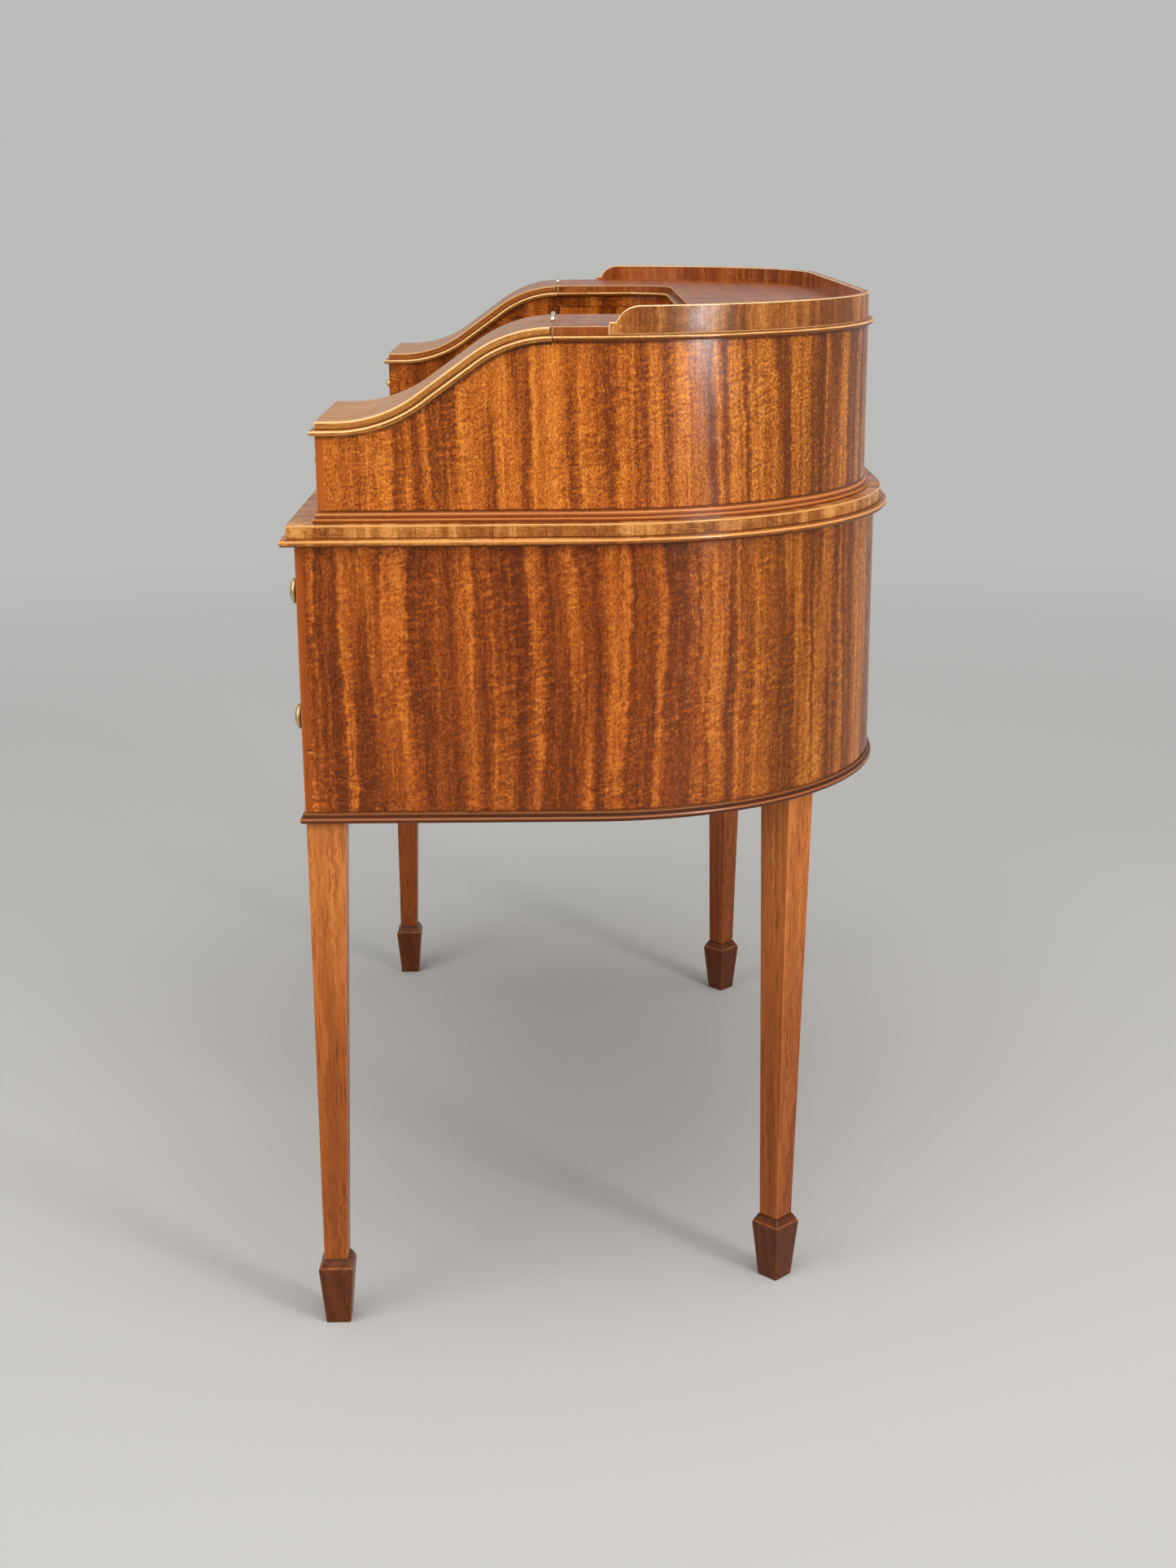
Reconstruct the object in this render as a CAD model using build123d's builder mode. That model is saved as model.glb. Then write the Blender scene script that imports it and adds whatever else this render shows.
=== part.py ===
from build123d import *
import os
from math import cos, degrees, radians, sin, sqrt

# A small writing desk with a D-shaped plan: a two-tier case of drawers on square tapered
# legs, and a U-shaped superstructure whose wings have S-curved lifting lids.
# Lengths are in millimetres and angles in degrees. X runs left to right, the sitter is on
# the -Y side and +Z is up. The origin is on the floor, in the middle of the desk's outline.

# Lower case
case_width = 992.0
case_depth = 532.0
corner_radius = 276.0
case_wall = 14.0
leg_length = 496.0
desk_height = 762.0
bottom_moulding_height = 9.0
bottom_bead_height = 6.0
bottom_bead_reach = 4.0
bottom_fillet_reach = 1.5

# Desk top
top_thickness = 18.0
top_overhang = 6.0
top_bead_reach = 6.0
top_bead_height = 6.5
leather_thickness = 1.2
leather_border = 38.0
leather_corner_radius = 36.0

# Kneehole and rails
knee_width = 480.0
knee_wall = 16.0
top_rail_height = 10.0
top_rail_depth = 22.0
upper_drawer_opening = 103.5
divider_thickness = 8.0

# Legs and spade feet
leg_top_width = 34.6
leg_neck_width = 22.2
front_leg_inset = 6.0
back_leg_from_side = 99.0
back_leg_from_back = 95.0
back_leg_lean = 4.0
back_leg_turn = 45.0
foot_low_width = 23.0
foot_wide_width = 32.7
foot_height = 56.0
foot_shoulder_width = 31.4
foot_shoulder_height = 2.6
foot_slope_width = 26.4
foot_slope_height = 5.0
foot_collar_width = 23.6
foot_collar_height = 2.4

# Superstructure
upper_height = 164.0
upper_inset = 10.0
wing_setback = 20.0
wing_width = 186.0
bank_depth = 167.0
well_radius = 57.0
upper_wall = 10.0
inner_wall = 10.0
base_thickness = 8.6
base_step_height = 3.6
base_reach = 4.0
base_step_reach = 2.0
base_round = 1.8
upper_top_thickness = 12.0
cornice_bead_height = 5.0
cornice_bead_reach = 5.0
frieze_height = 12.0
frieze_thickness = 12.0
gallery_height = 17.0
gallery_thickness = 7.0
gallery_setback = 48.0
gallery_rise_run = 28.0
gallery_toe_height = 3.5
gallery_toe_run = 6.0

# Lids
lid_length = 203.0
lid_drop = 77.7
lid_bend_radius = 120.0
lid_slope = 35.5
lid_joint_gap = 0.6
lid_seat_gap = 0.4

# Wing fittings
partition_thickness = 8.0
lid_floor_thickness = 4.0

# Curved corner doors
door_arc = 60.0
door_bevel_arc = 12.0
door_gap = 0.8
door_pivot_inset = 3.0
door_pin_radius = 1.2
door_pin_grip = 6.0
door_knob_from_post = 52.0

# Bank of small drawers and pigeonholes
end_upright = 10.0
bank_upright = 8.0
bank_bays = 3
bank_drawer_opening = 62.0
bank_shelf = 6.0

# Drawers
drawer_gap = 0.8
drawer_front = 18.0
small_drawer_front = 12.0
drawer_board = 8.0
small_drawer_board = 5.0
drawer_side_relief = 4.0
small_drawer_side_relief = 1.0
drawer_bottom = 5.0
small_drawer_bottom = 3.0
drawer_bottom_lift = 6.0
small_drawer_bottom_lift = 3.0
drawer_top_relief = 12.0
small_drawer_top_relief = 6.0
drawer_back_gap = 10.0
centre_drawer_length = 330.0

# Large turned knobs
large_knob_radius = 11.8
large_knob_reach = 22.0
large_knob_dome = 3.7
large_knob_rim = 2.8
large_knob_edge_round = 0.9
large_knob_collar_radius = 8.0
large_knob_collar_height = 2.0
large_knob_waist_radius = 4.2
large_knob_waist_height = 7.0
centre_knob_spacing = 236.0

# Small turned knobs
knob_radius = 4.6
knob_length = 12.0
knob_stem_radius = 2.0
knob_collar_radius = 3.2
knob_collar_length = 0.9
wing_knob_height_share = 0.57
door_knob_height_share = 0.55

# Lid hinges
hinge_length = 76.0
hinge_barrel_radius = 1.9
hinge_pin_radius = 0.9
hinge_leaf_thickness = 1.1
hinge_leaf_depth = 10.5
hinge_leaf_gap = 0.2
hinge_knuckle_gap = 0.3
hinge_barrel_gap = 1.0
hinge_ball_radius = 2.3
hinge_middle_share = 0.34
hinge_relief_depth = 0.5
hinge_relief_margin = 0.3
running_clearance = 0.05

# Shared clearances
glue_gap = 0.1
seat_gap = 0.3
overrun = 30.0
bead_round_share = 0.45

# Places worked out from the sizes above
rim_reach = top_overhang + top_bead_reach
front_y = -(case_depth + rim_reach - large_knob_reach) / 2
back_y = front_y + case_depth
corner_x = case_width / 2 - corner_radius
corner_y = back_y - corner_radius
case_floor = leg_length + bottom_moulding_height
case_top = desk_height - top_thickness
rail_z = case_top - top_rail_height
divider_top = rail_z - upper_drawer_opening
divider_z = divider_top - divider_thickness
knee_half = knee_width / 2
case_inside = case_width / 2 - case_wall
foot_top = foot_height + foot_shoulder_height + foot_slope_height + foot_collar_height

wing_front = front_y + wing_setback
hinge_y = wing_front + lid_length
wing_outer = case_width / 2 - upper_inset
wing_inner = wing_outer - wing_width
well_back = back_y - upper_inset - bank_depth
well_arc_x = wing_inner - well_radius
well_arc_y = well_back - well_radius
base_top = desk_height + base_thickness
upper_top = desk_height + upper_height
upper_ceiling = upper_top - upper_top_thickness
frieze_z = upper_ceiling - frieze_height
lid_thickness = upper_top_thickness
lid_front_z = upper_top - lid_drop
lid_floor_top = lid_front_z - lid_thickness - seat_gap
lid_floor_z = lid_floor_top - lid_floor_thickness
lid_bead_height = cornice_bead_height
gallery_floor = upper_ceiling + cornice_bead_height
gallery_start = hinge_y + gallery_setback
hinge_axis_z = upper_top + hinge_ball_radius + hinge_barrel_gap
partition_front = hinge_y - partition_thickness
jamb_y = hinge_y + lid_joint_gap
door_start = jamb_y + door_gap
door_low = base_top + door_gap
door_high = frieze_z - door_gap

door_knob_y = door_start + door_knob_from_post
door_gap_arc = degrees(door_gap / well_radius)

bank_half = well_arc_x - end_upright
bay_width = (2 * bank_half - (bank_bays - 1) * bank_upright) / bank_bays
shelf_z = base_top + bank_drawer_opening

sides = {"left": -1, "right": 1}


def keep(piece, name):
    """Label a finished piece and write it to its own file."""
    piece.part.label = name
    export_step(piece.part, f"parts/{name}.step")


def block(low, high, mode=Mode.ADD):
    """A box between two opposite corners, in the piece being built."""
    spans = [sorted(pair) for pair in zip(low, high)]
    with Locations(tuple(sum(pair) / 2 for pair in spans)):
        Box(*[pair[1] - pair[0] for pair in spans], mode=mode)


def round_over(edges, height):
    """Round both long edges of a bead of some height, so that its nose is nearly half round."""
    fillet(edges, height * bead_round_share)


def d_plan(outset, z, forward=0):
    """The D-shaped plan of the case, grown all round, with its front moved forward."""
    half = case_width / 2 + outset
    near = front_y - forward
    radius = corner_radius + outset
    with BuildSketch(Plane.XY.offset(z)) as plan:
        with BuildLine():
            Line((half, near), (half, corner_y))
            CenterArc((corner_x, corner_y), radius, 0, 90)
            Line((corner_x, back_y + outset), (-corner_x, back_y + outset))
            CenterArc((-corner_x, corner_y), radius, 90, 90)
            Line((-half, corner_y), (-half, near))
            Line((-half, near), (half, near))
        make_face()
    return plan.sketch


def well_plan(inset, z):
    """The open well between the wings, drawn in all round and run out past the front."""
    half = wing_inner - inset
    near = front_y - overrun
    radius = well_radius - inset
    far = well_back - inset
    with BuildSketch(Plane.XY.offset(z)) as plan:
        with BuildLine():
            Line((half, near), (half, well_arc_y))
            CenterArc((well_arc_x, well_arc_y), radius, 0, 90)
            Line((well_arc_x, far), (-well_arc_x, far))
            CenterArc((-well_arc_x, well_arc_y), radius, 90, 90)
            Line((-half, well_arc_y), (-half, near))
            Line((-half, near), (half, near))
        make_face()
    return plan.sketch


def u_plan(outset, z):
    """The U-shaped plan of the superstructure, grown all round."""
    with BuildSketch(Plane.XY.offset(z)) as plan:
        add(d_plan(outset - upper_inset, 0, outset - wing_setback))
        add(well_plan(outset, 0), mode=Mode.SUBTRACT)
    return plan.sketch


def s_curve(depth, start):
    """Draw the lid's top line, moved down square to itself, from its front to the hinge."""
    turn = radians(lid_slope)
    rise = 2 * lid_bend_radius * (1 - cos(turn))
    straight = (lid_drop - rise) / sin(turn)
    bend_y = hinge_y - 2 * lid_bend_radius * sin(turn) - straight * cos(turn)
    hollow = (bend_y, lid_front_z + lid_bend_radius)
    crown = (hinge_y, upper_top - lid_bend_radius)
    low_r = lid_bend_radius + depth
    high_r = lid_bend_radius - depth
    low_end = (hollow[0] + low_r * sin(turn), hollow[1] - low_r * cos(turn))
    high_end = (crown[0] - high_r * sin(turn), crown[1] + high_r * cos(turn))
    Line((start, lid_front_z - depth), (bend_y, lid_front_z - depth))
    CenterArc(hollow, low_r, -90, lid_slope)
    Line(low_end, high_end)
    CenterArc(crown, high_r, 90 + lid_slope, -lid_slope)


def lid_band(x, start, top_depth, low_depth):
    """The side view of a layer of the lid between two depths below its top surface."""
    with BuildSketch(Plane.YZ.offset(x)) as band:
        with BuildLine():
            s_curve(top_depth, start)
            Line((hinge_y, upper_top - top_depth), (hinge_y, upper_top - low_depth))
            s_curve(low_depth, start)
            Line((start, lid_front_z - low_depth), (start, lid_front_z - top_depth))
        make_face()
    return band.sketch


def above_lid(x, depth):
    """The side view of everything over a line at some depth below the lid's top."""
    start = front_y - overrun
    sky = upper_top + overrun
    with BuildSketch(Plane.YZ.offset(x)) as band:
        with BuildLine():
            s_curve(depth, start)
            Line((hinge_y, upper_top - depth), (hinge_y, sky))
            Line((hinge_y, sky), (start, sky))
            Line((start, sky), (start, lid_front_z - depth))
        make_face()
    return band.sketch


# Lower case

def make_case_rim():
    """The bent D-shaped wall of the case, open at the front."""
    height = case_top - case_floor
    with BuildPart() as case_rim:
        extrude(d_plan(0, case_floor), amount=height)
        extrude(d_plan(-case_wall, case_floor, overrun), amount=height, mode=Mode.SUBTRACT)
    keep(case_rim, "case_rim")


def make_kneehole_sides():
    """The two upright boards beside the kneehole, notched round the top rail."""
    with BuildPart() as kneehole_sides:
        extrude(d_plan(-case_wall - glue_gap, case_floor + glue_gap),
                amount=case_top - case_floor - glue_gap)
        reach = case_width
        outer = knee_half + knee_wall
        sky = case_top + overrun
        for side in sides.values():
            block((side * outer, front_y - overrun, 0), (side * reach, back_y, sky), Mode.SUBTRACT)
        block((-knee_half, front_y - overrun, 0), (knee_half, back_y, sky), Mode.SUBTRACT)
        block((-reach, front_y - overrun, rail_z - glue_gap),
              (reach, front_y + top_rail_depth + glue_gap, sky), Mode.SUBTRACT)
    keep(kneehole_sides, "kneehole_sides")


def make_case_bottoms():
    """The boards under the two stacks of drawers."""
    with BuildPart() as case_bottoms:
        extrude(d_plan(-case_wall - glue_gap, leg_length), amount=bottom_moulding_height)
        block((-case_width, front_y - overrun, 0),
              (case_width, front_y + case_wall + glue_gap, desk_height), Mode.SUBTRACT)
        block((-knee_half, front_y, 0), (knee_half, back_y, desk_height), Mode.SUBTRACT)
    keep(case_bottoms, "case_bottoms")


def make_drawer_rails():
    """The top rail over the drawers, and the boards between the tiers and over the knees."""
    with BuildPart() as drawer_rails:
        extrude(d_plan(-case_wall - glue_gap, divider_z), amount=divider_thickness)
        for side in sides.values():
            block((side * (knee_half - glue_gap), front_y - overrun, 0),
                  (side * (knee_half + knee_wall + glue_gap), back_y, desk_height), Mode.SUBTRACT)
        half = case_inside - glue_gap
        block((-half, front_y, rail_z), (half, front_y + top_rail_depth, case_top))
    keep(drawer_rails, "drawer_rails")


def make_bottom_moulding():
    """The beaded strip under the case: round the D, and across the front of each stack."""
    fillet_z = leg_length + bottom_bead_height
    inner_front = front_y + case_wall
    with BuildPart() as bottom_moulding:
        extrude(d_plan(bottom_bead_reach, leg_length, bottom_bead_reach), amount=bottom_bead_height)
        round_over(bottom_moulding.edges().filter_by(Axis.Z, reverse=True), bottom_bead_height)
        extrude(d_plan(bottom_fillet_reach, leg_length + bottom_bead_height / 2, bottom_fillet_reach),
                amount=case_floor - fillet_z + bottom_bead_height / 2)
        with BuildSketch(Plane.XY.offset(leg_length)) as inside:
            add(d_plan(-case_wall, 0))
            with Locations((0, inner_front - case_depth / 2)):
                Rectangle(2 * case_width, case_depth, mode=Mode.SUBTRACT)
        extrude(amount=bottom_moulding_height, mode=Mode.SUBTRACT)
        block((-knee_half, front_y - overrun, 0), (knee_half, inner_front, desk_height),
              Mode.SUBTRACT)
    keep(bottom_moulding, "bottom_moulding")


# Legs and feet

def front_leg_places(side):
    """The middle of a front leg at its top and at its neck: its outer faces stand upright."""
    outer_x = case_width / 2 - front_leg_inset
    top = (side * (outer_x - leg_top_width / 2), front_y + leg_top_width / 2)
    neck = (side * (outer_x - leg_neck_width / 2), front_y + leg_neck_width / 2)
    return top, neck


def back_leg_places(side):
    """The middle of a back leg at its top and at its neck: it leans a little to the back."""
    top_x = case_width / 2 - back_leg_from_side
    top_y = back_y - back_leg_from_back
    neck = (side * (top_x + back_leg_lean), top_y - back_leg_lean)
    return (side * top_x, top_y), neck


def make_leg(name, places, turn):
    """A square leg that tapers from the case down to the neck of its foot."""
    top, neck = places
    with BuildPart() as leg:
        with BuildSketch(Plane.XY.offset(foot_top)):
            with Locations(neck):
                Rectangle(leg_neck_width, leg_neck_width, rotation=turn)
        with BuildSketch(Plane.XY.offset(leg_length)):
            with Locations(top):
                Rectangle(leg_top_width, leg_top_width, rotation=turn)
        loft()
    keep(leg, name)


def make_spade_feet():
    """The four spade feet: each swells upward from the floor, then steps in to the neck."""
    stands = [(front_leg_places(side)[1], 0) for side in sides.values()]
    stands += [(back_leg_places(side)[1], back_leg_turn) for side in sides.values()]
    shoulder_z = foot_height + foot_shoulder_height
    rings = [(0, foot_low_width), (foot_height, foot_wide_width),
             (shoulder_z, foot_shoulder_width),
             (shoulder_z + foot_slope_height, foot_slope_width), (foot_top, foot_collar_width)]
    with BuildPart() as spade_feet:
        for place, turn in stands:
            for lower, upper in zip(rings, rings[1:]):
                for z, width in (lower, upper):
                    with BuildSketch(Plane.XY.offset(z)):
                        with Locations(place):
                            Rectangle(width, width, rotation=turn)
                loft()
    keep(spade_feet, "spade_feet")


# Desk top

def leather_plan(margin, z):
    """The leather's outline between the wings, round-cornered at the back."""
    half = wing_inner - leather_border + margin
    near = front_y - top_overhang + leather_border - margin
    far = well_back - leather_border + margin
    with BuildSketch(Plane.XY.offset(z)) as plan:
        with Locations((0, (near + far) / 2)):
            Rectangle(2 * half, far - near)
        fillet(plan.vertices().group_by(Axis.Y)[-1], leather_corner_radius)
    return plan.sketch


def make_desk_top():
    """The D-shaped top board, with a shallow recess for the leather."""
    with BuildPart() as desk_top:
        extrude(d_plan(top_overhang, case_top, top_overhang), amount=top_thickness)
        extrude(leather_plan(glue_gap, desk_height - leather_thickness), amount=overrun,
                mode=Mode.SUBTRACT)
    keep(desk_top, "desk_top")


def make_top_bead():
    """The bead planted round the lower edge of the top board."""
    with BuildPart() as top_bead:
        extrude(d_plan(rim_reach, case_top, rim_reach), amount=top_bead_height)
        round_over(top_bead.edges().filter_by(Axis.Z, reverse=True), top_bead_height)
        extrude(d_plan(top_overhang, case_top, top_overhang), amount=top_thickness,
                mode=Mode.SUBTRACT)
    keep(top_bead, "top_bead")


def make_writing_leather():
    """The inset leather writing surface, level with the wood round it."""
    with BuildPart() as writing_leather:
        extrude(leather_plan(0, desk_height - leather_thickness), amount=leather_thickness)
    keep(writing_leather, "writing_leather")


# Superstructure

def door_pivot(side):
    """The upright axis that a corner door turns on, close to its face and its front end."""
    return (side * (wing_inner + door_pivot_inset), door_start + door_pivot_inset)


def make_base_board():
    """The U-shaped bottom board of the superstructure, with a stepped and rounded edge."""
    with BuildPart() as base_board:
        extrude(u_plan(base_step_reach, desk_height), amount=base_thickness)
        fillet(base_board.faces().sort_by(Axis.Z)[-1].edges(), base_round)
        extrude(u_plan(base_reach, desk_height), amount=base_step_height)
        for side in sides.values():
            with Locations((*door_pivot(side), base_top - door_pin_grip)):
                Cylinder(door_pin_radius + running_clearance, base_thickness,
                         align=(Align.CENTER, Align.CENTER, Align.MIN), mode=Mode.SUBTRACT)
    keep(base_board, "base_board")


def make_upper_rim():
    """The bent outer wall of the superstructure, cut to the lids' curve over the wings."""
    height = upper_ceiling - base_top
    with BuildPart() as upper_rim:
        extrude(d_plan(-upper_inset, base_top, -wing_setback), amount=height)
        extrude(d_plan(-upper_inset - upper_wall, base_top, overrun), amount=height,
                mode=Mode.SUBTRACT)
        extrude(above_lid(-case_width / 2, lid_thickness + lid_seat_gap), amount=case_width,
                mode=Mode.SUBTRACT)
    keep(upper_rim, "upper_rim")


def make_wing_inner_sides():
    """The wings' walls beside the writing surface, cut to the lids' curve."""
    with BuildPart() as wing_inner_sides:
        for side in sides.values():
            block((side * wing_inner, wing_front, base_top),
                  (side * (wing_inner + inner_wall), jamb_y, upper_ceiling))
        extrude(above_lid(-case_width / 2, lid_thickness + lid_seat_gap), amount=case_width,
                mode=Mode.SUBTRACT)
    keep(wing_inner_sides, "wing_inner_sides")


def make_wing_dividers():
    """In each wing, the upright behind the lidded box, and the box's floor over the drawer."""
    low_x = wing_inner + inner_wall + glue_gap
    high_x = wing_outer - upper_wall - glue_gap
    with BuildPart() as wing_dividers:
        for side in sides.values():
            block((side * low_x, partition_front, base_top),
                  (side * high_x, hinge_y, upper_ceiling))
            block((side * low_x, wing_front, lid_floor_z),
                  (side * high_x, partition_front - glue_gap, lid_floor_top))
        extrude(above_lid(-case_width / 2, lid_thickness + lid_seat_gap), amount=case_width,
                mode=Mode.SUBTRACT)
    keep(wing_dividers, "wing_dividers")


def arc_point(radius, angle):
    """A point on the right-hand corner of the well, at an angle from the wing's side."""
    turn = radians(angle)
    return (well_arc_x + radius * cos(turn), well_arc_y + radius * sin(turn))


def door_plan(z):
    """The right-hand door from above: a straight leaf that runs into the corner's curve."""
    face = well_radius
    back = well_radius + frieze_thickness
    with BuildSketch(Plane.XY.offset(z)) as plan:
        with BuildLine():
            Line((wing_inner, door_start), (wing_inner, well_arc_y))
            CenterArc((well_arc_x, well_arc_y), face, 0, door_arc)
            Line(arc_point(face, door_arc), arc_point(back, door_arc - door_bevel_arc))
            CenterArc((well_arc_x, well_arc_y), back, 0, door_arc - door_bevel_arc)
            Line((wing_inner + frieze_thickness, well_arc_y),
                 (wing_inner + frieze_thickness, door_start))
            Line((wing_inner + frieze_thickness, door_start), (wing_inner, door_start))
        make_face()
        near_corner = plan.vertices().group_by(Axis.Y)[0].sort_by(Axis.X)[0]
        fillet(near_corner, door_pivot_inset)
    return plan.sketch


def end_post_plan(z):
    """The right-hand end upright: a curved stile beside the door, run back as a board."""
    face = well_radius
    back = well_radius + frieze_thickness
    start = door_arc + door_gap_arc
    with BuildSketch(Plane.XY.offset(z)) as plan:
        with BuildLine():
            CenterArc((well_arc_x, well_arc_y), face, start, 90 - start)
            Line((well_arc_x, well_back), (bank_half, well_back))
            Line((bank_half, well_back), (bank_half, back_y))
            Line((bank_half, back_y), (well_arc_x, back_y))
            Line((well_arc_x, back_y), (well_arc_x, well_back + frieze_thickness))
            CenterArc((well_arc_x, well_arc_y), back, start, 90 - start)
            Line(arc_point(back, start), arc_point(face, start))
        make_face()
    return plan.sketch


def frieze_plan(margin, z):
    """The rail over the doors and the bank: a strip round the well, behind its edge."""
    with BuildSketch(Plane.XY.offset(z)) as plan:
        add(well_plan(-frieze_thickness - margin, 0))
        add(well_plan(0, 0), mode=Mode.SUBTRACT)
        with Locations((0, jamb_y + glue_gap - margin - case_depth / 2)):
            Rectangle(case_width, case_depth, mode=Mode.SUBTRACT)
    return plan.sketch


def make_bank_dividers():
    """The uprights of the bank, and the shelf pieces between drawers and pigeonholes."""
    height = upper_ceiling - base_top
    pitch = bay_width + bank_upright
    with BuildPart() as bank_dividers:
        extrude(end_post_plan(base_top), amount=height)
        mirror(about=Plane.YZ)
        for bay in range(1, bank_bays):
            x = -bank_half + bay * pitch - bank_upright
            block((x, well_back, base_top), (x + bank_upright, back_y, upper_ceiling))
        for bay in range(bank_bays):
            x = -bank_half + bay * pitch
            block((x + glue_gap, well_back, shelf_z),
                  (x + bay_width - glue_gap, back_y, shelf_z + bank_shelf))
        extrude(d_plan(-upper_inset - upper_wall - glue_gap, base_top, overrun), amount=height,
                mode=Mode.INTERSECT)
        extrude(frieze_plan(glue_gap, frieze_z - glue_gap), amount=frieze_height + overrun,
                mode=Mode.SUBTRACT)
    keep(bank_dividers, "bank_dividers")


def make_inner_frieze():
    """The rail that follows the well over the doors and pigeonholes."""
    with BuildPart() as inner_frieze:
        extrude(frieze_plan(0, frieze_z), amount=frieze_height)
        for side in sides.values():
            with Locations((*door_pivot(side), frieze_z)):
                Cylinder(door_pin_radius + running_clearance, door_pin_grip,
                         align=(Align.CENTER, Align.CENTER, Align.MIN), mode=Mode.SUBTRACT)
    keep(inner_frieze, "inner_frieze")


def gallery_plan(margin, z):
    """The strip that the gallery stands in, along the outer edge of the flat top."""
    with BuildSketch(Plane.XY.offset(z)) as plan:
        add(d_plan(-upper_inset, 0))
        add(d_plan(-upper_inset - gallery_thickness - margin, 0, overrun), mode=Mode.SUBTRACT)
        with Locations((0, gallery_start - margin - case_depth / 2)):
            Rectangle(case_width, case_depth, mode=Mode.SUBTRACT)
    return plan.sketch


def make_upper_top():
    """The U-shaped flat top behind the lids, with a rebate for the gallery and hinge pockets."""
    near = hinge_y + lid_joint_gap / 2
    with BuildPart() as upper_top_board:
        extrude(u_plan(0, upper_ceiling), amount=upper_top_thickness)
        block((-case_width, front_y - overrun, 0), (case_width, near, upper_top + overrun),
              Mode.SUBTRACT)
        extrude(gallery_plan(glue_gap, gallery_floor), amount=overrun, mode=Mode.SUBTRACT)
        for side in sides.values():
            hinge_pocket(side, 1)
    keep(upper_top_board, "upper_top")


def make_cornice_bead():
    """The bead round the outer and inner edges of the flat top."""
    near = hinge_y + lid_joint_gap / 2
    with BuildPart() as cornice_bead:
        extrude(u_plan(cornice_bead_reach, upper_ceiling), amount=cornice_bead_height)
        round_over(cornice_bead.edges().filter_by(Axis.Z, reverse=True), cornice_bead_height)
        extrude(u_plan(0, upper_ceiling), amount=upper_top_thickness, mode=Mode.SUBTRACT)
        block((-case_width, front_y - overrun, 0), (case_width, near, upper_top + overrun),
              Mode.SUBTRACT)
    keep(cornice_bead, "cornice_bead")


def make_gallery():
    """The low gallery round the back, let into the top's edge, its ends in a quarter round."""
    toe = gallery_start + gallery_toe_run
    full = gallery_start + gallery_rise_run
    high_z = upper_top + gallery_height
    with BuildPart() as gallery:
        extrude(gallery_plan(0, gallery_floor), amount=high_z - gallery_floor)
        with BuildSketch(Plane.YZ.offset(-case_width / 2)):
            with BuildLine():
                toe_z = upper_top + gallery_toe_height
                start = gallery_start - overrun
                sky = high_z + overrun
                Line((start, toe_z), (toe, toe_z))
                RadiusArc((toe, toe_z), (full, high_z), gallery_rise_run - gallery_toe_run)
                Line((full, high_z), (full, sky))
                Line((full, sky), (start, sky))
                Line((start, sky), (start, toe_z))
            make_face()
        extrude(amount=case_width, mode=Mode.SUBTRACT)
    keep(gallery, "gallery")


# Lids and their hinges

def hinge_middle(side):
    """The middle of a lid's hinge, across the wing."""
    return side * (wing_inner + wing_width / 2)


def hinge_pocket(side, back):
    """Cut the pocket for one hinge leaf and the shallow relief for its knuckles and balls."""
    middle = hinge_middle(side)
    half = hinge_length / 2 + glue_gap
    deep = hinge_leaf_gap / 2 + hinge_leaf_thickness + glue_gap
    block((middle - half, hinge_y - back * overrun, upper_top - hinge_leaf_depth - glue_gap),
          (middle + half, hinge_y + back * deep, upper_top + overrun), Mode.SUBTRACT)
    relief = hinge_ball_radius + hinge_relief_margin
    half = hinge_length / 2 + hinge_knuckle_gap + hinge_ball_radius + relief
    block((middle - half, hinge_y - back * overrun, upper_top - hinge_relief_depth),
          (middle + half, hinge_y + back * relief, upper_top + overrun), Mode.SUBTRACT)


def make_lid(name, side):
    """The S-curved lid of one wing, with a pocket for its hinge leaf."""
    low_x = min(side * wing_inner, side * wing_outer)
    with BuildPart() as lid:
        extrude(lid_band(low_x, wing_front, 0, lid_thickness), amount=wing_width)
        block((low_x, hinge_y - lid_joint_gap / 2, 0),
              (low_x + wing_width, hinge_y + overrun, upper_top + overrun), Mode.SUBTRACT)
        hinge_pocket(side, -1)
    keep(lid, name)


def make_lid_bead(name, side):
    """The bead round the lower edge of a lid, on its front and both sides."""
    low_x = min(side * wing_inner, side * wing_outer)
    reach = cornice_bead_reach
    start = wing_front - reach
    with BuildPart() as lid_bead:
        extrude(lid_band(low_x - reach, start, lid_thickness - lid_bead_height, lid_thickness),
                amount=wing_width + 2 * reach)
        ends = lid_bead.faces().filter_by(Axis.X)
        front_edges = lid_bead.faces().sort_by(Axis.Y)[0].edges().filter_by(Axis.X)
        round_over(ends.edges().filter_by(Axis.Z, reverse=True) + front_edges, lid_bead_height)
        block((low_x, wing_front, 0), (low_x + wing_width, hinge_y + overrun, upper_top + overrun),
              Mode.SUBTRACT)
        block((low_x - 2 * reach, hinge_y - lid_joint_gap / 2, 0),
              (low_x + wing_width + 2 * reach, hinge_y + overrun, upper_top + overrun),
              Mode.SUBTRACT)
    keep(lid_bead, name)


def hinge_spans(side):
    """Where the fixed end knuckles and the moving middle knuckle start and stop."""
    low = hinge_middle(side) - hinge_length / 2
    high = hinge_middle(side) + hinge_length / 2
    half_middle = hinge_length * hinge_middle_share / 2
    middle_low = hinge_middle(side) - half_middle
    middle_high = hinge_middle(side) + half_middle
    fixed = [(low, middle_low - hinge_knuckle_gap), (middle_high + hinge_knuckle_gap, high)]
    return fixed, [(middle_low, middle_high)]


def rod_x(x0, x1, y, z, radius, mode=Mode.ADD):
    """A round bar along X, in the piece being built."""
    with Locations(((x0 + x1) / 2, y, z)):
        Cylinder(radius, x1 - x0, rotation=(0, 90, 0), mode=mode)


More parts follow.
